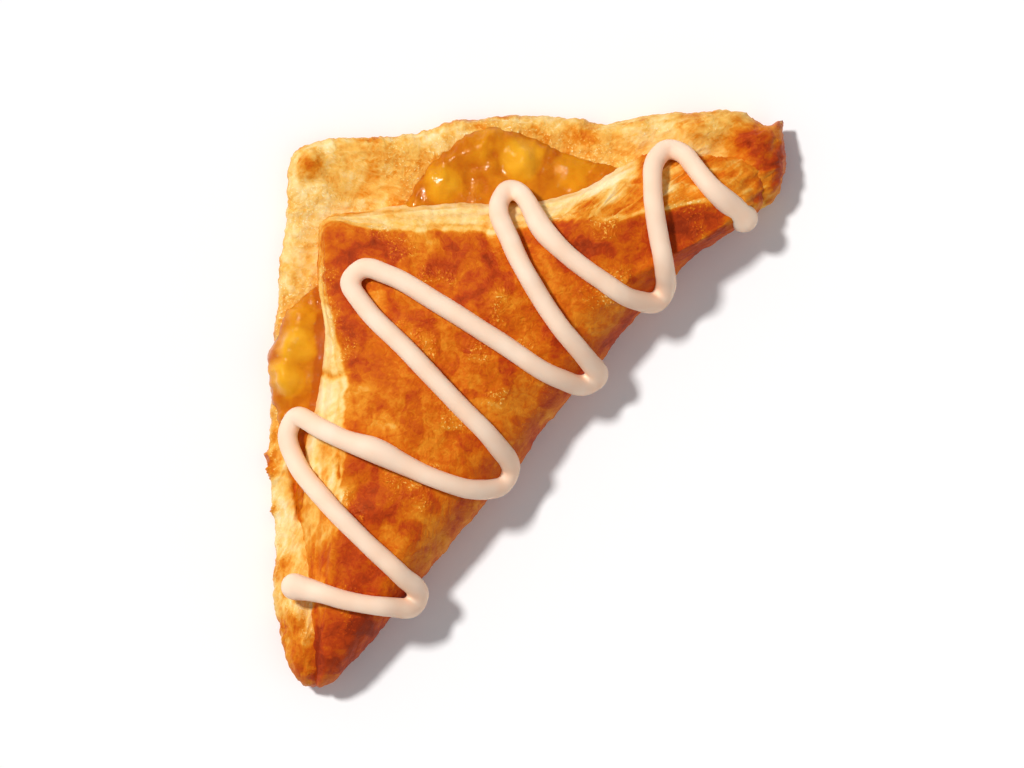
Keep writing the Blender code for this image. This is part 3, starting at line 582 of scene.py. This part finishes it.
def lower_half():
    """Ring grid of the lower mound. Its relief adds folded and torn skins, blisters, grain, crumbs, a gap by
    the fold and thin layers round the wall."""

    def under(foot, _cut):
        flat = [(inset, 0.0) for inset in (2, 6, 14, 22, 28, LOWER_INRADIUS)]
        return [(0.15, foot * 0.75), (0.4, foot * 0.45), (0.9, foot * 0.2), (1.5, 0.3), *flat]

    shares = np.concatenate([np.linspace(0, 0.5, 48)[1:], np.linspace(0.5, 1.0, 12)[1:]])
    points, inset, _, _, rim = lower_mound().grid(CRUST_RAYS, LOWER_WALL_RINGS, shares, under)
    x, y, z = points[..., 0], points[..., 1], points[..., 2]
    wall = 1 - between(inset, 0.8, RIM_RUN)
    ragged = fractal(rim, 2.4, 4, 24)
    layers = noise(along_rim(rim, z * 4), 3.0, 21)
    flowing = warped(points, 5.0, 1.8, 81)
    folds = ridges(flowing, (5.2, 3.0, 3.0), 1, 30)
    creases = ridges(flowing, (2.6, 1.7, 1.7), 2, 31)
    fine = ridges(warped(flowing, 1.5, 0.6, 84), 1.0, 2, 35)
    blisters = bubbles(flowing[..., 0], flowing[..., 1], 3.8, 91)
    golden = patches(x, y, RIM_PATCHES)
    crumbs = patches(x, y, CRUMBS)
    gap, gap_tone = gaps(warped(points, 1.5, 0.3, 88), LOWER_GAPS)
    rough = 1 + 0.8 * np.clip(golden, 0, 0.5)
    level, tear = torn_skins(flowing, 5.0, 96)
    level = level * between(tear, 0.0, 0.2)
    stripes = ridges(warped(along_rim(rim, inset), 4.0, 1.0, 89), (7.0, 7.0, 1.5), 2, 97)
    stripes = stripes * between(-y, *STRIPES_FROM)
    juice = between(filling_mound().inset(x, y)[0] + 1.6 * noise(points, 3.0, 67), *JUICE_REACH)
    juice = juice * between(y, *JUICE_FROM)
    distance = (
        rough * (0.22 * folds + 0.22 * creases + 0.14 * fine) + 0.2 * blisters
        + 0.1 * level + 0.35 * stripes + wall * (0.26 * ragged + 0.22 * layers)
        + crumbs * (0.88 + 1.2 * fine) - gap
    )
    # The tone is paler on the crests of the creases, the fine wrinkles and the blisters, and darker in the
    # hollows between them: painted highlight and painted shade that follow the relief.
    bake = (
        0.23 + 0.06 * noise(points, 7.0, 51) + 0.05 * noise(points, 2.4, 52) - 0.1 * creases
        - 0.12 * fine - 0.05 * blisters + 0.05 * level - 0.25 * stripes + golden
        + 0.35 * np.clip(golden, 0, 0.5) * noise(flowing, 3.0, 66)
        + 0.22 * (1 - between(z, 0.8, 4.0)) + 0.12 * wall * layers + 0.25 * np.clip(crumbs, 0, 1) + gap_tone
        + 0.08 * juice
    )
    glaze = np.clip(0.5 + 0.4 * noise(points, 5.0, 57) + golden + 0.5 * juice, 0, 1)
    # Where the egg wash foamed: glossier and bumpier, and where the crust material paints glints into the
    # tone.
    glinting_foam = 0.5 * between(noise(flowing, 5.0, 60), 0.2, 0.6) + np.clip(crumbs, 0, 1) + 0.6 * juice
    attributes = {"bake": np.clip(bake, 0, 1), "glaze": glaze, "glinting_foam": np.clip(glinting_foam, 0, 1)}
    return put_ball("lower_half", displaced(points, distance), attributes)


def folded_half():
    """Ring grid of the folded mound. Its top gets wrinkles and grain, its cut sides get torn layers, and the
    wide raw side near the right tip gets thin glazed skins."""

    def under(foot, cut):
        sealed = FOLDED_UNDERSIDE * cut
        belly = 1 - cut
        return [
            (0.15, sealed + 0.8 * foot * belly + 0.5 * (foot - FOLDED_UNDERSIDE) * cut),
            (0.6, sealed + 0.55 * foot * belly), (1.3, sealed + 0.36 * foot * belly),
            (2.2, sealed + 0.22 * foot * belly), (4.8, sealed + 0.6 * belly), (9.0, sealed + 0.9 * belly),
            (14.0, sealed + 1.2 * belly), (20.0, FOLDED_UNDERSIDE), (25.0, FOLDED_UNDERSIDE),
            (FOLDED_INRADIUS, FOLDED_UNDERSIDE),
        ]

    shares = np.linspace(0, 1, 86)[1:]
    points, inset, run, cut, rim = folded_mound().grid(CRUST_RAYS, FOLDED_WALL_RINGS, shares, under)
    x, y = points[..., 0], points[..., 1]
    up_wall = np.clip(inset / run, 0, 1)
    sided = between(cut, 0.2, 0.8)
    wander = 0.6 * fractal(rim, 5.0, 4, 25)
    beyond_edge = inset - run + patches(x, y, EDGE_SHIFTS)
    beyond_ragged = beyond_edge + wander
    raw = sided * (1 - between(beyond_ragged, -0.4, 0.5))
    past_band = between(inset + 1.2 * wander, *PAST_BAND) * between(x, *SKINS_FROM)
    skins = sided * np.maximum(past_band, between(x + wander, *WIDE_SKINS_FROM))
    flowing = warped(points, 4.0, 1.6, 82)
    along = along_rim(rim, 0.7 * inset)
    torn = noise(along_rim(rim, up_wall * 7), (2.6, 2.6, 1.0), 22)
    upright = noise(along_rim(rim, up_wall * 1.5), (1.2, 1.2, 1.0), 23)
    sheets = noise(along_rim(rim, up_wall * 14), (6.0, 6.0, 1.0), 26)
    sheets = sheets * (1 - between(up_wall, 0.15, 0.5))
    shreds = ridges(warped(along, 2.4, 1.3, 83), (2.4, 2.4, 1.5), 3, 33)
    level, tear = torn_skins(warped(along, 2.6, 1.2, 86), (5.0, 5.0, 2.0), 95)
    level = level * between(tear, 0.0, 0.25)
    stripes = ridges(warped(along, 4.0, 0.7, 89), (7.0, 7.0, 1.0), 2, 97) * between(-y, *STRIPES_FROM)
    creases = ridges(flowing, 3.6, 2, 32)
    fine = ridges(warped(flowing, 1.6, 0.7, 85), 1.2, 2, 36)
    # Where the egg wash foamed: glossier and bumpier, and where the crust material paints glints into the
    # tone.
    glinting_foam = between(noise(flowing, 5.5, 58), 0.1, 0.6)
    golden = between(noise(flowing, 6.0, 63), 0.2, 0.5)
    darkened = between(noise(flowing, 4.2, 64), 0.28, 0.42)
    gap, gap_tone = gaps(warped(points, 1.5, 0.3, 87), FOLDED_GAPS)
    skin = 0.2 * creases + 0.12 * fine
    side = 0.14 * torn + 0.1 * upright + 0.12 * fine + 0.12 * level + 0.45 * stripes + 0.15 * sheets
    side = side + skins * (0.7 * shreds + 0.2 * fine + 0.3 * level - side)
    edge_band = sided * between(beyond_edge, 1.2, 3.0) * (1 - between(beyond_edge, 5.0, 12.0))
    rim_line = sided * between(beyond_ragged, -0.3, 0.2) * (1 - between(beyond_ragged, 0.7, 1.4))
    rim_line = rim_line * between(y, *RIM_LINE_FROM)
    # The fold's flank, which faces away from the key light, is darker in tone: painted shade on top of its
    # own browning. It is also less glazed and has no foam.
    flank = (1 - sided) * (1 - between(inset, 1.5, 7.0))
    hem = (1 - sided) * (1 - between(inset, 0.8, 3.0)) * fractal(rim, 3.0, 3, 27)
    # Here and in the raw layers' and the skins' tones below, the crests of the fine wrinkles and of the
    # shreds are paler: painted highlight that follows the relief.
    brown = (
        0.62 + 0.08 * flank - 0.1 * hem + 0.12 * edge_band - 0.3 * rim_line + patches(x, y, TOP_PATCHES)
        + 0.05 * noise(points, 6.0, 53) + 0.05 * noise(flowing, 2.2, 54) + 0.05 * creases - 0.04 * fine
        - 0.12 * golden + 0.13 * darkened - 0.06 * glinting_foam
    )
    pale = (
        0.19 + 0.1 * between(up_wall, 0.75, 1) + 0.04 * torn + 0.05 * upright + 0.08 * noise(points, 6.0, 55)
        - 0.08 * fine + 0.06 * level - 0.3 * stripes - 0.1 * sheets + patches(x, y, SIDE_PATCHES)
        # Darker at the foot of the left cut side, where it meets the filling: painted shade in the seam.
        + 0.3 * (1 - between(inset, 0.0, 1.0)) * between(-x, *WALL_FOOT_FROM)
    )
    skin_tone = 0.5 - 0.34 * shreds + 0.1 * level + 0.08 * noise(points, 3.0, 56)
    skin_tone = skin_tone + patches(x, y, SIDE_PATCHES)
    pale = pale + skins * (skin_tone - pale)
    bake = brown + (pale - brown) * raw + gap_tone
    distance = skin + (side - skin) * raw + 0.3 * hem - gap
    glaze = np.clip(0.8 - 0.6 * raw * (1 - skins) - 0.4 * flank, 0, 1)
    glinting_foam = glinting_foam * (1 - raw * (1 - 0.6 * skins)) * (1 - flank)
    attributes = {"bake": np.clip(bake, 0, 1), "glaze": glaze, "glinting_foam": glinting_foam}
    return put_ball("folded_half", displaced(points, distance), attributes)


# ---- filling ----
def filling():
    """Ring grid of the filling, lumpy where pieces of apple push up and wet and wrinkled between them."""

    def under(foot, _cut):
        flat = [(inset, FILLING_BED) for inset in (1.2, 14, FILLING_INRADIUS)]
        return [(0.3, 0.6 * foot + 0.4 * FILLING_BED), *flat]

    shares = np.concatenate([np.linspace(0, 0.7, 40)[1:], [0.8, 0.9, 1.0]])
    points, inset, _, _, rim = filling_mound().grid(FILLING_RAYS, FILLING_WALL_RINGS, shares, under)
    x, y = points[..., 0], points[..., 1]
    lumps = fractal(points, 3.6, 2, 61)
    edge = 1 - between(inset, 0.5, 3.0)
    # Where the gel runs in under the folded half's wall: wetter, and darker in tone, a band of painted shade.
    tucked_in_shade = between(folded_mound().inset(x, y)[0] + 0.6 * noise(points, 2.0, 69), *TUCKED_REACH)
    tucked_in_shade = tucked_in_shade * between(-x, *TUCKED_FROM)
    wet = between(noise(points, 4.0, 62) + 0.5 * edge + tucked_in_shade, 0.0, 0.4) * between(inset, 0.0, 0.6)
    tucked_in_shade = tucked_in_shade * (0.5 + 0.45 * fractal(points, 1.8, 3, 70))
    piece = np.zeros_like(x)
    for piece_x, piece_y, radius, rise in APPLE_PIECES:
        near = np.clip(nearness(x, y, piece_x, piece_y, radius) + 0.3, 0, 1)
        piece = np.maximum(piece, near * (rise / FULL_PIECE) ** 2)
    distance = 0.38 * lumps + 0.4 * edge * fractal(rim, 2.4, 3, 68)
    # Less apple where the gel is tucked in under the wall: this darkening is the painted shade.
    apple = np.clip(piece + 0.25 * lumps, 0, 1) - tucked_in_shade
    return put_ball("filling", displaced(points, distance), {"apple": apple, "wet": wet})


# ---- icing ----
def crowded(route, count):
    """The route read again at count places, which lie closer together the more it turns."""
    step = np.diff(route[:, :2], axis=0)
    heading = np.unwrap(np.arctan2(step[:, 1], step[:, 0]))
    turning = np.abs(np.gradient(heading))
    return read_evenly(route, np.linalg.norm(step, axis=1) + BEAD_CROWDING * turning, count)


def resting_height(x, y, radius, mounds):
    """Height of the middle of a bead that lies on the mounds: no point of them is nearer than its radius."""
    reach = radius[:, None, None]
    share = np.linspace(0, 1, PROBE_RINGS)[None, :, None]
    turn = np.linspace(0, 2 * math.pi, PROBE_TURNS, endpoint=False)[None, None, :]
    at_x = x[:, None, None] + reach * share * np.cos(turn)
    at_y = y[:, None, None] + reach * share * np.sin(turn)
    surface = np.maximum.reduce([mound.height(at_x, at_y) for mound in mounds])
    return (surface + reach * np.sqrt(1 - share**2)).max(axis=(1, 2))


def icing_path():
    """Points and radii of the bead: the route laid on the crust, eased over hollows by taking the greater of
    each height and its neighbours' mean, and let down where it slumps."""
    settings = bpy.context.scene.turnover_shape
    route = crowded(smooth_curve(ICING_ROUTE, 8 * BRIDGING_STATIONS, closed=False), BRIDGING_STATIONS)
    x, y, radius = route[:, 0], route[:, 1], route[:, 2] * settings.bead_radius / MM
    z = resting_height(x, y, radius, (lower_mound(), folded_mound(), filling_mound()))
    z = z - settings.bead_sink / MM
    for _ in range(BRIDGING):
        z = np.maximum(z, np.convolve(np.pad(z, 1, mode="edge"), (0.25, 0.5, 0.25), mode="valid"))
    return smooth_curve(np.column_stack([x, y, z - route[:, 3], radius]), BEAD_PLACES, closed=False)


def icing():
    """A circle carried along the path, a little flatter below, with half-ball ends that close in poles.
    Strands that touch are fused, and the creases between them are softened."""
    path = icing_path()
    centre, radius = path[:, :3], path[:, 3]
    tangent = np.gradient(centre, axis=0)
    tangent /= np.linalg.norm(tangent, axis=1, keepdims=True)
    angles = np.radians(np.linspace(90, 0, BEAD_END_RINGS, endpoint=False))
    ends = []
    for end, way in ((0, -1), (-1, 1)):
        place = centre[end] + way * radius[end] * np.sin(angles)[:, None] * tangent[end]
        heading = np.repeat(tangent[end][None], len(angles), axis=0)
        ends.append((place, radius[end] * np.cos(angles), heading))
    centre = np.vstack([ends[0][0], centre, ends[1][0][::-1]])
    radius = np.concatenate([ends[0][1], radius, ends[1][1][::-1]])
    tangent = np.vstack([ends[0][2], tangent, ends[1][2][::-1]])
    side = np.cross((0, 0, 1), tangent)
    side /= np.linalg.norm(side, axis=1, keepdims=True)
    up = np.cross(tangent, side)
    turn = -np.linspace(0, 2 * math.pi, BEAD_SIDES, endpoint=False)
    lift = np.where(np.sin(turn) < 0, BEAD_BELLY, 1.0) * np.sin(turn)
    ring = np.cos(turn)[None, :, None] * side[:, None] + lift[None, :, None] * up[:, None]
    points = centre[:, None] + radius[:, None, None] * ring
    obj = put_ball("icing", points + BEAD_UNEVENNESS * noise(points, 5.0, 71)[..., None] * ring, {})
    fuse = obj.modifiers.new("fuse", "REMESH")
    fuse.mode = "VOXEL"
    fuse.voxel_size = BEAD_VOXEL * MM
    fuse.use_smooth_shade = True
    soften = obj.modifiers.new("soften", "SMOOTH")
    soften.factor = 0.5
    soften.iterations = BEAD_SOFTENING
    return obj


# ---- materials ----
def linear(colour):
    """An sRGB hex colour such as "#e0a050", as linear red, green, blue and 1 for alpha."""
    value = np.array([int(colour[i : i + 2], 16) for i in (1, 3, 5)]) / 255
    return (*np.where(value <= 0.04045, value / 12.92, ((value + 0.055) / 1.055) ** 2.4), 1.0)


def add_node(material, kind, inputs=None, output=0, stops=(), **settings):
    """Adds a shader node with its settings, its ramp's stops, and its inputs as values or links, and gives
    one output."""
    node = material.node_tree.nodes.new("ShaderNode" + kind)
    for label, value in settings.items():
        setattr(node, label, value)
    for label, value in (inputs or {}).items():
        if isinstance(value, bpy.types.NodeSocket):
            material.node_tree.links.new(value, node.inputs[label])
        else:
            node.inputs[label].default_value = value
    for number, (position, colour) in enumerate(stops):
        elements = node.color_ramp.elements
        element = elements[number] if number < len(elements) else elements.new(position)
        element.position, element.color = position, colour
    return node.outputs[output] if node.outputs else None


def new_material(name):
    """A material whose node tree is empty, and the function that adds a node to it."""
    material = bpy.data.materials.new(name)
    material.use_nodes = True
    material.node_tree.nodes.clear()
    return material, partial(add_node, material)


def crust_material(name):
    """Puff pastry, baked and washed with egg: dull and pale where raw layers show, brown and satin where the
    wash glazed it."""
    material, add = new_material(name)
    colours = bpy.context.scene.turnover_colours
    place = add("TexCoord", output="Object")
    names = ("bake", "glaze", "glinting_foam")
    bake, glaze, glinting_foam = (add("Attribute", output="Fac", attribute_name=name) for name in names)
    # Skin that shrank as it dried: the pattern is pushed about by up to 1.4 mm, so that it flows.
    push = add("TexNoise", {"Vector": place, "Scale": 1 / (2.6 * MM), "Detail": 1.0}, "Color")
    reach = (1.4 * MM, 1.4 * MM, 1.4 * MM)
    flow = add("VectorMath", {0: push, 1: reach, 2: place}, operation="MULTIPLY_ADD")
    mottle = add("TexNoise", {"Vector": flow, "Scale": 1 / (2.2 * MM), "Detail": 2.0})
    curls = {"Vector": flow, "Scale": 1 / (1.1 * MM), "Detail": 2.0, "Distortion": 1.2}
    crackle = add("TexNoise", curls)
    # Specks 0.3 mm wide where the egg wash foamed and burst: raised and glossy, and lighter in tone, which
    # paints glints on them.
    froth = add("TexNoise", {"Vector": flow, "Scale": 1 / (0.55 * MM), "Detail": 2.0})
    glint_speck = add("MapRange", {"Value": froth, "From Min": 0.58, "From Max": 0.68}, clamp=True)
    glint_speck = add("Math", {0: glint_speck, 1: glinting_foam}, operation="MULTIPLY")
    # Scorched islands 1 to 2 mm wide with crisp edges, where a blister touched the heat.
    island = add("TexNoise", {"Vector": flow, "Scale": 1 / (3.0 * MM), "Detail": 3.0})
    island = add("MapRange", {"Value": island, "From Min": 0.56, "From Max": 0.6}, clamp=True)
    island = add("Math", {0: island, 1: glaze}, operation="MULTIPLY")
    # Pale layers stay even in colour, and browned ones are mottled.
    vivid = {"Value": bake, "From Min": 0.15, "From Max": 0.55, "To Min": 0.4, "To Max": 1.0}
    vivid = add("MapRange", vivid, clamp=True)
    blend = add("Math", {0: mottle, 1: 0.24, 2: -0.12}, operation="MULTIPLY_ADD")
    curl = add("Math", {0: crackle, 1: 0.28, 2: -0.14}, operation="MULTIPLY_ADD")
    blend = add("Math", {0: blend, 1: curl}, operation="ADD")
    tone = add("Math", {0: blend, 1: vivid, 2: bake}, operation="MULTIPLY_ADD")
    # The specks make the tone lighter: painted glints.
    tone = add("Math", {0: glint_speck, 1: -0.32, 2: tone}, operation="MULTIPLY_ADD")
    tone = add("Math", {0: island, 1: 0.06, 2: tone}, operation="MULTIPLY_ADD")
    stops = [
        (0.0, colours.dough), (0.15, colours.pale_crust), (0.3, colours.golden), (0.46, colours.amber_crust),
        (0.62, colours.brown), (0.8, colours.dark_brown), (1.0, colours.scorched),
    ]
    height = add("Math", {0: froth, 1: glinting_foam}, operation="MULTIPLY")
    height = add("Math", {0: crackle, 1: 0.8, 2: height}, operation="MULTIPLY_ADD")
    bump = add("Bump", {"Height": height, "Strength": 1.0, "Distance": 0.25 * MM})
    rough = add("Math", {0: glaze, 1: -0.24, 2: 0.76}, operation="MULTIPLY_ADD")
    rough = add("Math", {0: glinting_foam, 1: -0.22, 2: rough}, operation="MULTIPLY_ADD")
    shader = add("BsdfPrincipled", {
        "Base Color": add("ValToRGB", {"Fac": tone}, stops=stops),
        "Roughness": rough, "Normal": bump,
        "IOR": 1.45, "Specular IOR Level": 0.4, "Specular Tint": linear("#ffb468"),
        "Subsurface Weight": 0.08, "Subsurface Radius": (1.0, 0.4, 0.12), "Subsurface Scale": 1.0 * MM,
    })
    add("OutputMaterial", {"Surface": shader})
    return material


def filling_material():
    """Apple filling: cooked fruit in a clear starch gel, so it is amber, wet and a little see-through."""
    material, add = new_material("apple_filling_gel")
    colours = bpy.context.scene.turnover_colours
    place = add("TexCoord", output="Object")
    names = ("apple", "wet")
    apple, wet = (add("Attribute", output="Fac", attribute_name=name) for name in names)
    cloud = add("TexNoise", {"Vector": place, "Scale": 1 / (2.6 * MM), "Detail": 3.0})
    tone = add("Math", {0: apple, 1: 0.75, 2: -0.13}, operation="MULTIPLY_ADD")
    tone = add("Math", {0: cloud, 1: 0.5, 2: tone}, operation="MULTIPLY_ADD")
    stops = [(0.0, colours.gel_dark), (0.35, colours.gel), (0.7, colours.gel_light), (1.0, colours.apple)]
    # Ripples 0.5 mm wide in the syrup on the gel, where it has wrinkled: their crests glint.
    ripple = add("TexNoise", {"Vector": place, "Scale": 1 / (0.5 * MM), "Detail": 0.0})
    depth = add("Math", {0: wet, 1: 0.7, 2: 0.3}, operation="MULTIPLY_ADD")
    ripple = add("Math", {0: ripple, 1: -0.5}, operation="ADD")
    ripple = add("Math", {0: ripple, 1: depth}, operation="MULTIPLY")
    syrup = add("Bump", {"Height": ripple, "Strength": 1.0, "Distance": 0.3 * MM})
    bump = add("Bump", {"Height": cloud, "Strength": 1.0, "Distance": 0.35 * MM})
    shader = add("BsdfPrincipled", {
        "Base Color": add("ValToRGB", {"Fac": tone}, stops=stops),
        "Roughness": 0.34, "Normal": bump,
        "IOR": 1.42, "Specular IOR Level": 0.3, "Specular Tint": linear("#ffc47c"),
        "Coat Weight": 0.3, "Coat Roughness": 0.08, "Coat IOR": 1.45, "Coat Normal": syrup,
        "Subsurface Weight": 0.25, "Subsurface Radius": (1.0, 0.5, 0.1), "Subsurface Scale": 2.0 * MM,
    })
    add("OutputMaterial", {"Surface": shader})
    return material


def icing_material():
    """Fondant icing: powdered sugar set to a dull satin skin, with light that scatters inside it."""
    material, add = new_material("set_fondant_icing")
    colours = bpy.context.scene.turnover_colours
    place = add("TexCoord", output="Object")
    cloud = add("TexNoise", {"Vector": place, "Scale": 1 / (6.0 * MM), "Detail": 1.0})
    sugar = add("TexNoise", {"Vector": place, "Scale": 1 / (1.2 * MM), "Detail": 2.0})
    stops = [(0.3, colours.icing_warm), (0.7, colours.icing)]
    shader = add("BsdfPrincipled", {
        "Base Color": add("ValToRGB", {"Fac": cloud}, stops=stops), "Roughness": 0.6,
        "Normal": add("Bump", {"Height": sugar, "Strength": 0.15, "Distance": 0.2 * MM}),
        "IOR": 1.45, "Specular IOR Level": 0.3,
        "Subsurface Weight": 1.0, "Subsurface Radius": (1.0, 0.6, 0.4), "Subsurface Scale": 3.0 * MM,
    }, subsurface_method="BURLEY")
    add("OutputMaterial", {"Surface": shader})
    return material


def stage_material():
    """Matt white sweep: even and pale, so only the shadow shows on it."""
    material, add = new_material("white_paper_sweep")
    inputs = {"Base Color": linear("#fdfdfe"), "Roughness": 0.9, "Specular IOR Level": 0.1}
    add("OutputMaterial", {"Surface": add("BsdfPrincipled", inputs)})
    return material


# ---- sizes and colours a user would change ----
def length(name, description, default):
    """A size in metres."""
    settings = {"default": default, "subtype": "DISTANCE", "unit": "LENGTH"}
    return bpy.props.FloatProperty(name=name, description=description, **settings)


def colour(name, description, default):
    """A colour with alpha, whose default is given as an sRGB hex value."""
    settings = {"default": linear(default), "size": 4, "subtype": "COLOR", "min": 0.0, "max": 1.0}
    return bpy.props.FloatVectorProperty(name=name, description=description, **settings)


class TurnoverShape(bpy.types.PropertyGroup):
    bed_height: length("Bed height", "Top of the lower half under the filling", 4.6 * MM)
    crown_height: length("Crown height", "Top of the folded half over its middle", 21.5 * MM)
    filling_height: length("Filling height", "Top of the filling inside the pocket", 10.0 * MM)
    bead_radius: length("Bead radius", "Radius of the piped icing", 2.25 * MM)
    bead_sink: length("Bead sink", "How far the icing settles into the crust", 0.35 * MM)


class TurnoverColours(bpy.types.PropertyGroup):
    dough: colour("Dough", "Puffed layers that no heat has coloured", "#fde8b8")
    pale_crust: colour("Pale crust", "Lightly baked crust", "#fad892")
    golden: colour("Golden", "Golden crust", "#f2ba5a")
    amber_crust: colour("Amber crust", "Crust between golden and brown", "#e28a22")
    brown: colour("Brown", "Brown glazed crust", "#cf640e")
    dark_brown: colour("Dark brown", "Darkest crust along the edges", "#b73e12")
    scorched: colour("Scorched", "Crust at the tips", "#8e2a10")
    gel_dark: colour("Dark gel", "Filling in the hollows", "#bf5c06")
    gel: colour("Gel", "Clear gel", "#dc8a0e")
    gel_light: colour("Light gel", "Gel over fruit", "#e8a01c")
    apple: colour("Apple", "Pieces of apple", "#f2ae26")
    icing: colour("Icing", "Icing", "#fbdfc6")
    icing_warm: colour("Warm icing", "Icing where it is thinner", "#f9d5b8")


# ---- operators ----
def ready(obj, node, material):
    """Dresses a finished piece and ties it to the frame."""
    obj.data.materials.append(material)
    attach(obj, "root")
    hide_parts(node)


class BuildCrust(bpy.types.Operator):
    """Makes the lower half and the folded half of the pastry"""

    bl_idname = "turnover.crust"
    bl_label = "Crust"

    def execute(self, context):
        ready(lower_half(), "pastry", crust_material("puff_pastry_lower"))
        ready(folded_half(), "pastry", crust_material("puff_pastry_egg_washed"))
        return {"FINISHED"}


class BuildFilling(bpy.types.Operator):
    """Makes the apple filling that shows at the cut sides"""

    bl_idname = "turnover.filling"
    bl_label = "Filling"

    def execute(self, context):
        ready(filling(), "filling", filling_material())
        return {"FINISHED"}


class BuildIcing(bpy.types.Operator):
    """Makes the piped zigzag of icing"""

    bl_idname = "turnover.icing"
    bl_label = "Icing"

    def execute(self, context):
        ready(icing(), "icing", icing_material())
        return {"FINISHED"}


class BuildStage(bpy.types.Operator):
    """Makes the white floor, the lights and the camera"""

    bl_idname = "turnover.stage"
    bl_label = "Stage"

    def execute(self, context):
        scene = context.scene
        bpy.ops.mesh.primitive_plane_add(size=FLOOR_SIZE, location=(0, 0, 0))
        floor = context.object
        floor.name = "floor"
        floor.data.materials.append(stage_material())

        world = bpy.data.worlds.new("soft_studio")
        world.use_nodes = True
        background = world.node_tree.nodes["Background"]
        background.inputs["Color"].default_value = linear(SKY_COLOUR)
        background.inputs["Strength"].default_value = SKY_STRENGTH
        scene.world = world

        for name, power, width, tint, elevation, heading in SUNS:
            lamp = bpy.data.lights.new(name, "SUN")
            lamp.energy, lamp.angle, lamp.color = power, math.radians(width), tint
            level, turn = math.radians(elevation), math.radians(heading)
            flat = math.cos(level)
            towards = Vector((flat * math.cos(turn), flat * math.sin(turn), math.sin(level)))
            holder = bpy.data.objects.new(name, lamp)
            holder.rotation_euler = towards.to_track_quat("Z", "Y").to_euler()
            scene.collection.objects.link(holder)

        across = VIEW_WIDTH * MM_PER_PIXEL * MM
        camera = bpy.data.cameras.new("camera")
        camera.lens = camera.sensor_width * (CAMERA_HEIGHT - RIM_LEVEL) / across
        eye = bpy.data.objects.new("camera", camera)
        right = (VIEW_WIDTH / 2 - ORIGIN_ACROSS) * MM_PER_PIXEL * MM
        back = (ORIGIN_DOWN - VIEW_HEIGHT / 2) * MM_PER_PIXEL * MM
        eye.location = (right, back, CAMERA_HEIGHT)
        scene.collection.objects.link(eye)
        scene.camera = eye
        scene.view_settings.view_transform = "Standard"
        return {"FINISHED"}


class TurnoverPanel(bpy.types.Panel):
    """Lists the sizes, the colours and the operator of each piece"""

    bl_idname = "VIEW3D_PT_turnover"
    bl_label = "Apple Turnover"
    bl_space_type = "VIEW_3D"
    bl_region_type = "UI"
    bl_category = "Turnover"

    def draw(self, context):
        for group in (context.scene.turnover_shape, context.scene.turnover_colours):
            box = self.layout.box()
            for label in group.__annotations__:
                box.prop(group, label)
        for operator in OPERATORS:
            self.layout.operator(operator.bl_idname)


OPERATORS = (BuildCrust, BuildFilling, BuildIcing, BuildStage)
CLASSES = (TurnoverShape, TurnoverColours, *OPERATORS, TurnoverPanel)


def register():
    for cls in CLASSES:
        bpy.utils.register_class(cls)
    bpy.types.Scene.turnover_shape = bpy.props.PointerProperty(type=TurnoverShape)
    bpy.types.Scene.turnover_colours = bpy.props.PointerProperty(type=TurnoverColours)


def unregister():
    del bpy.types.Scene.turnover_colours
    del bpy.types.Scene.turnover_shape
    for cls in reversed(CLASSES):
        bpy.utils.unregister_class(cls)


def main():
    register()
    bpy.ops.turnover.crust()
    bpy.ops.turnover.filling()
    bpy.ops.turnover.icing()
    bpy.ops.turnover.stage()


if __name__ == "__main__":
    main()
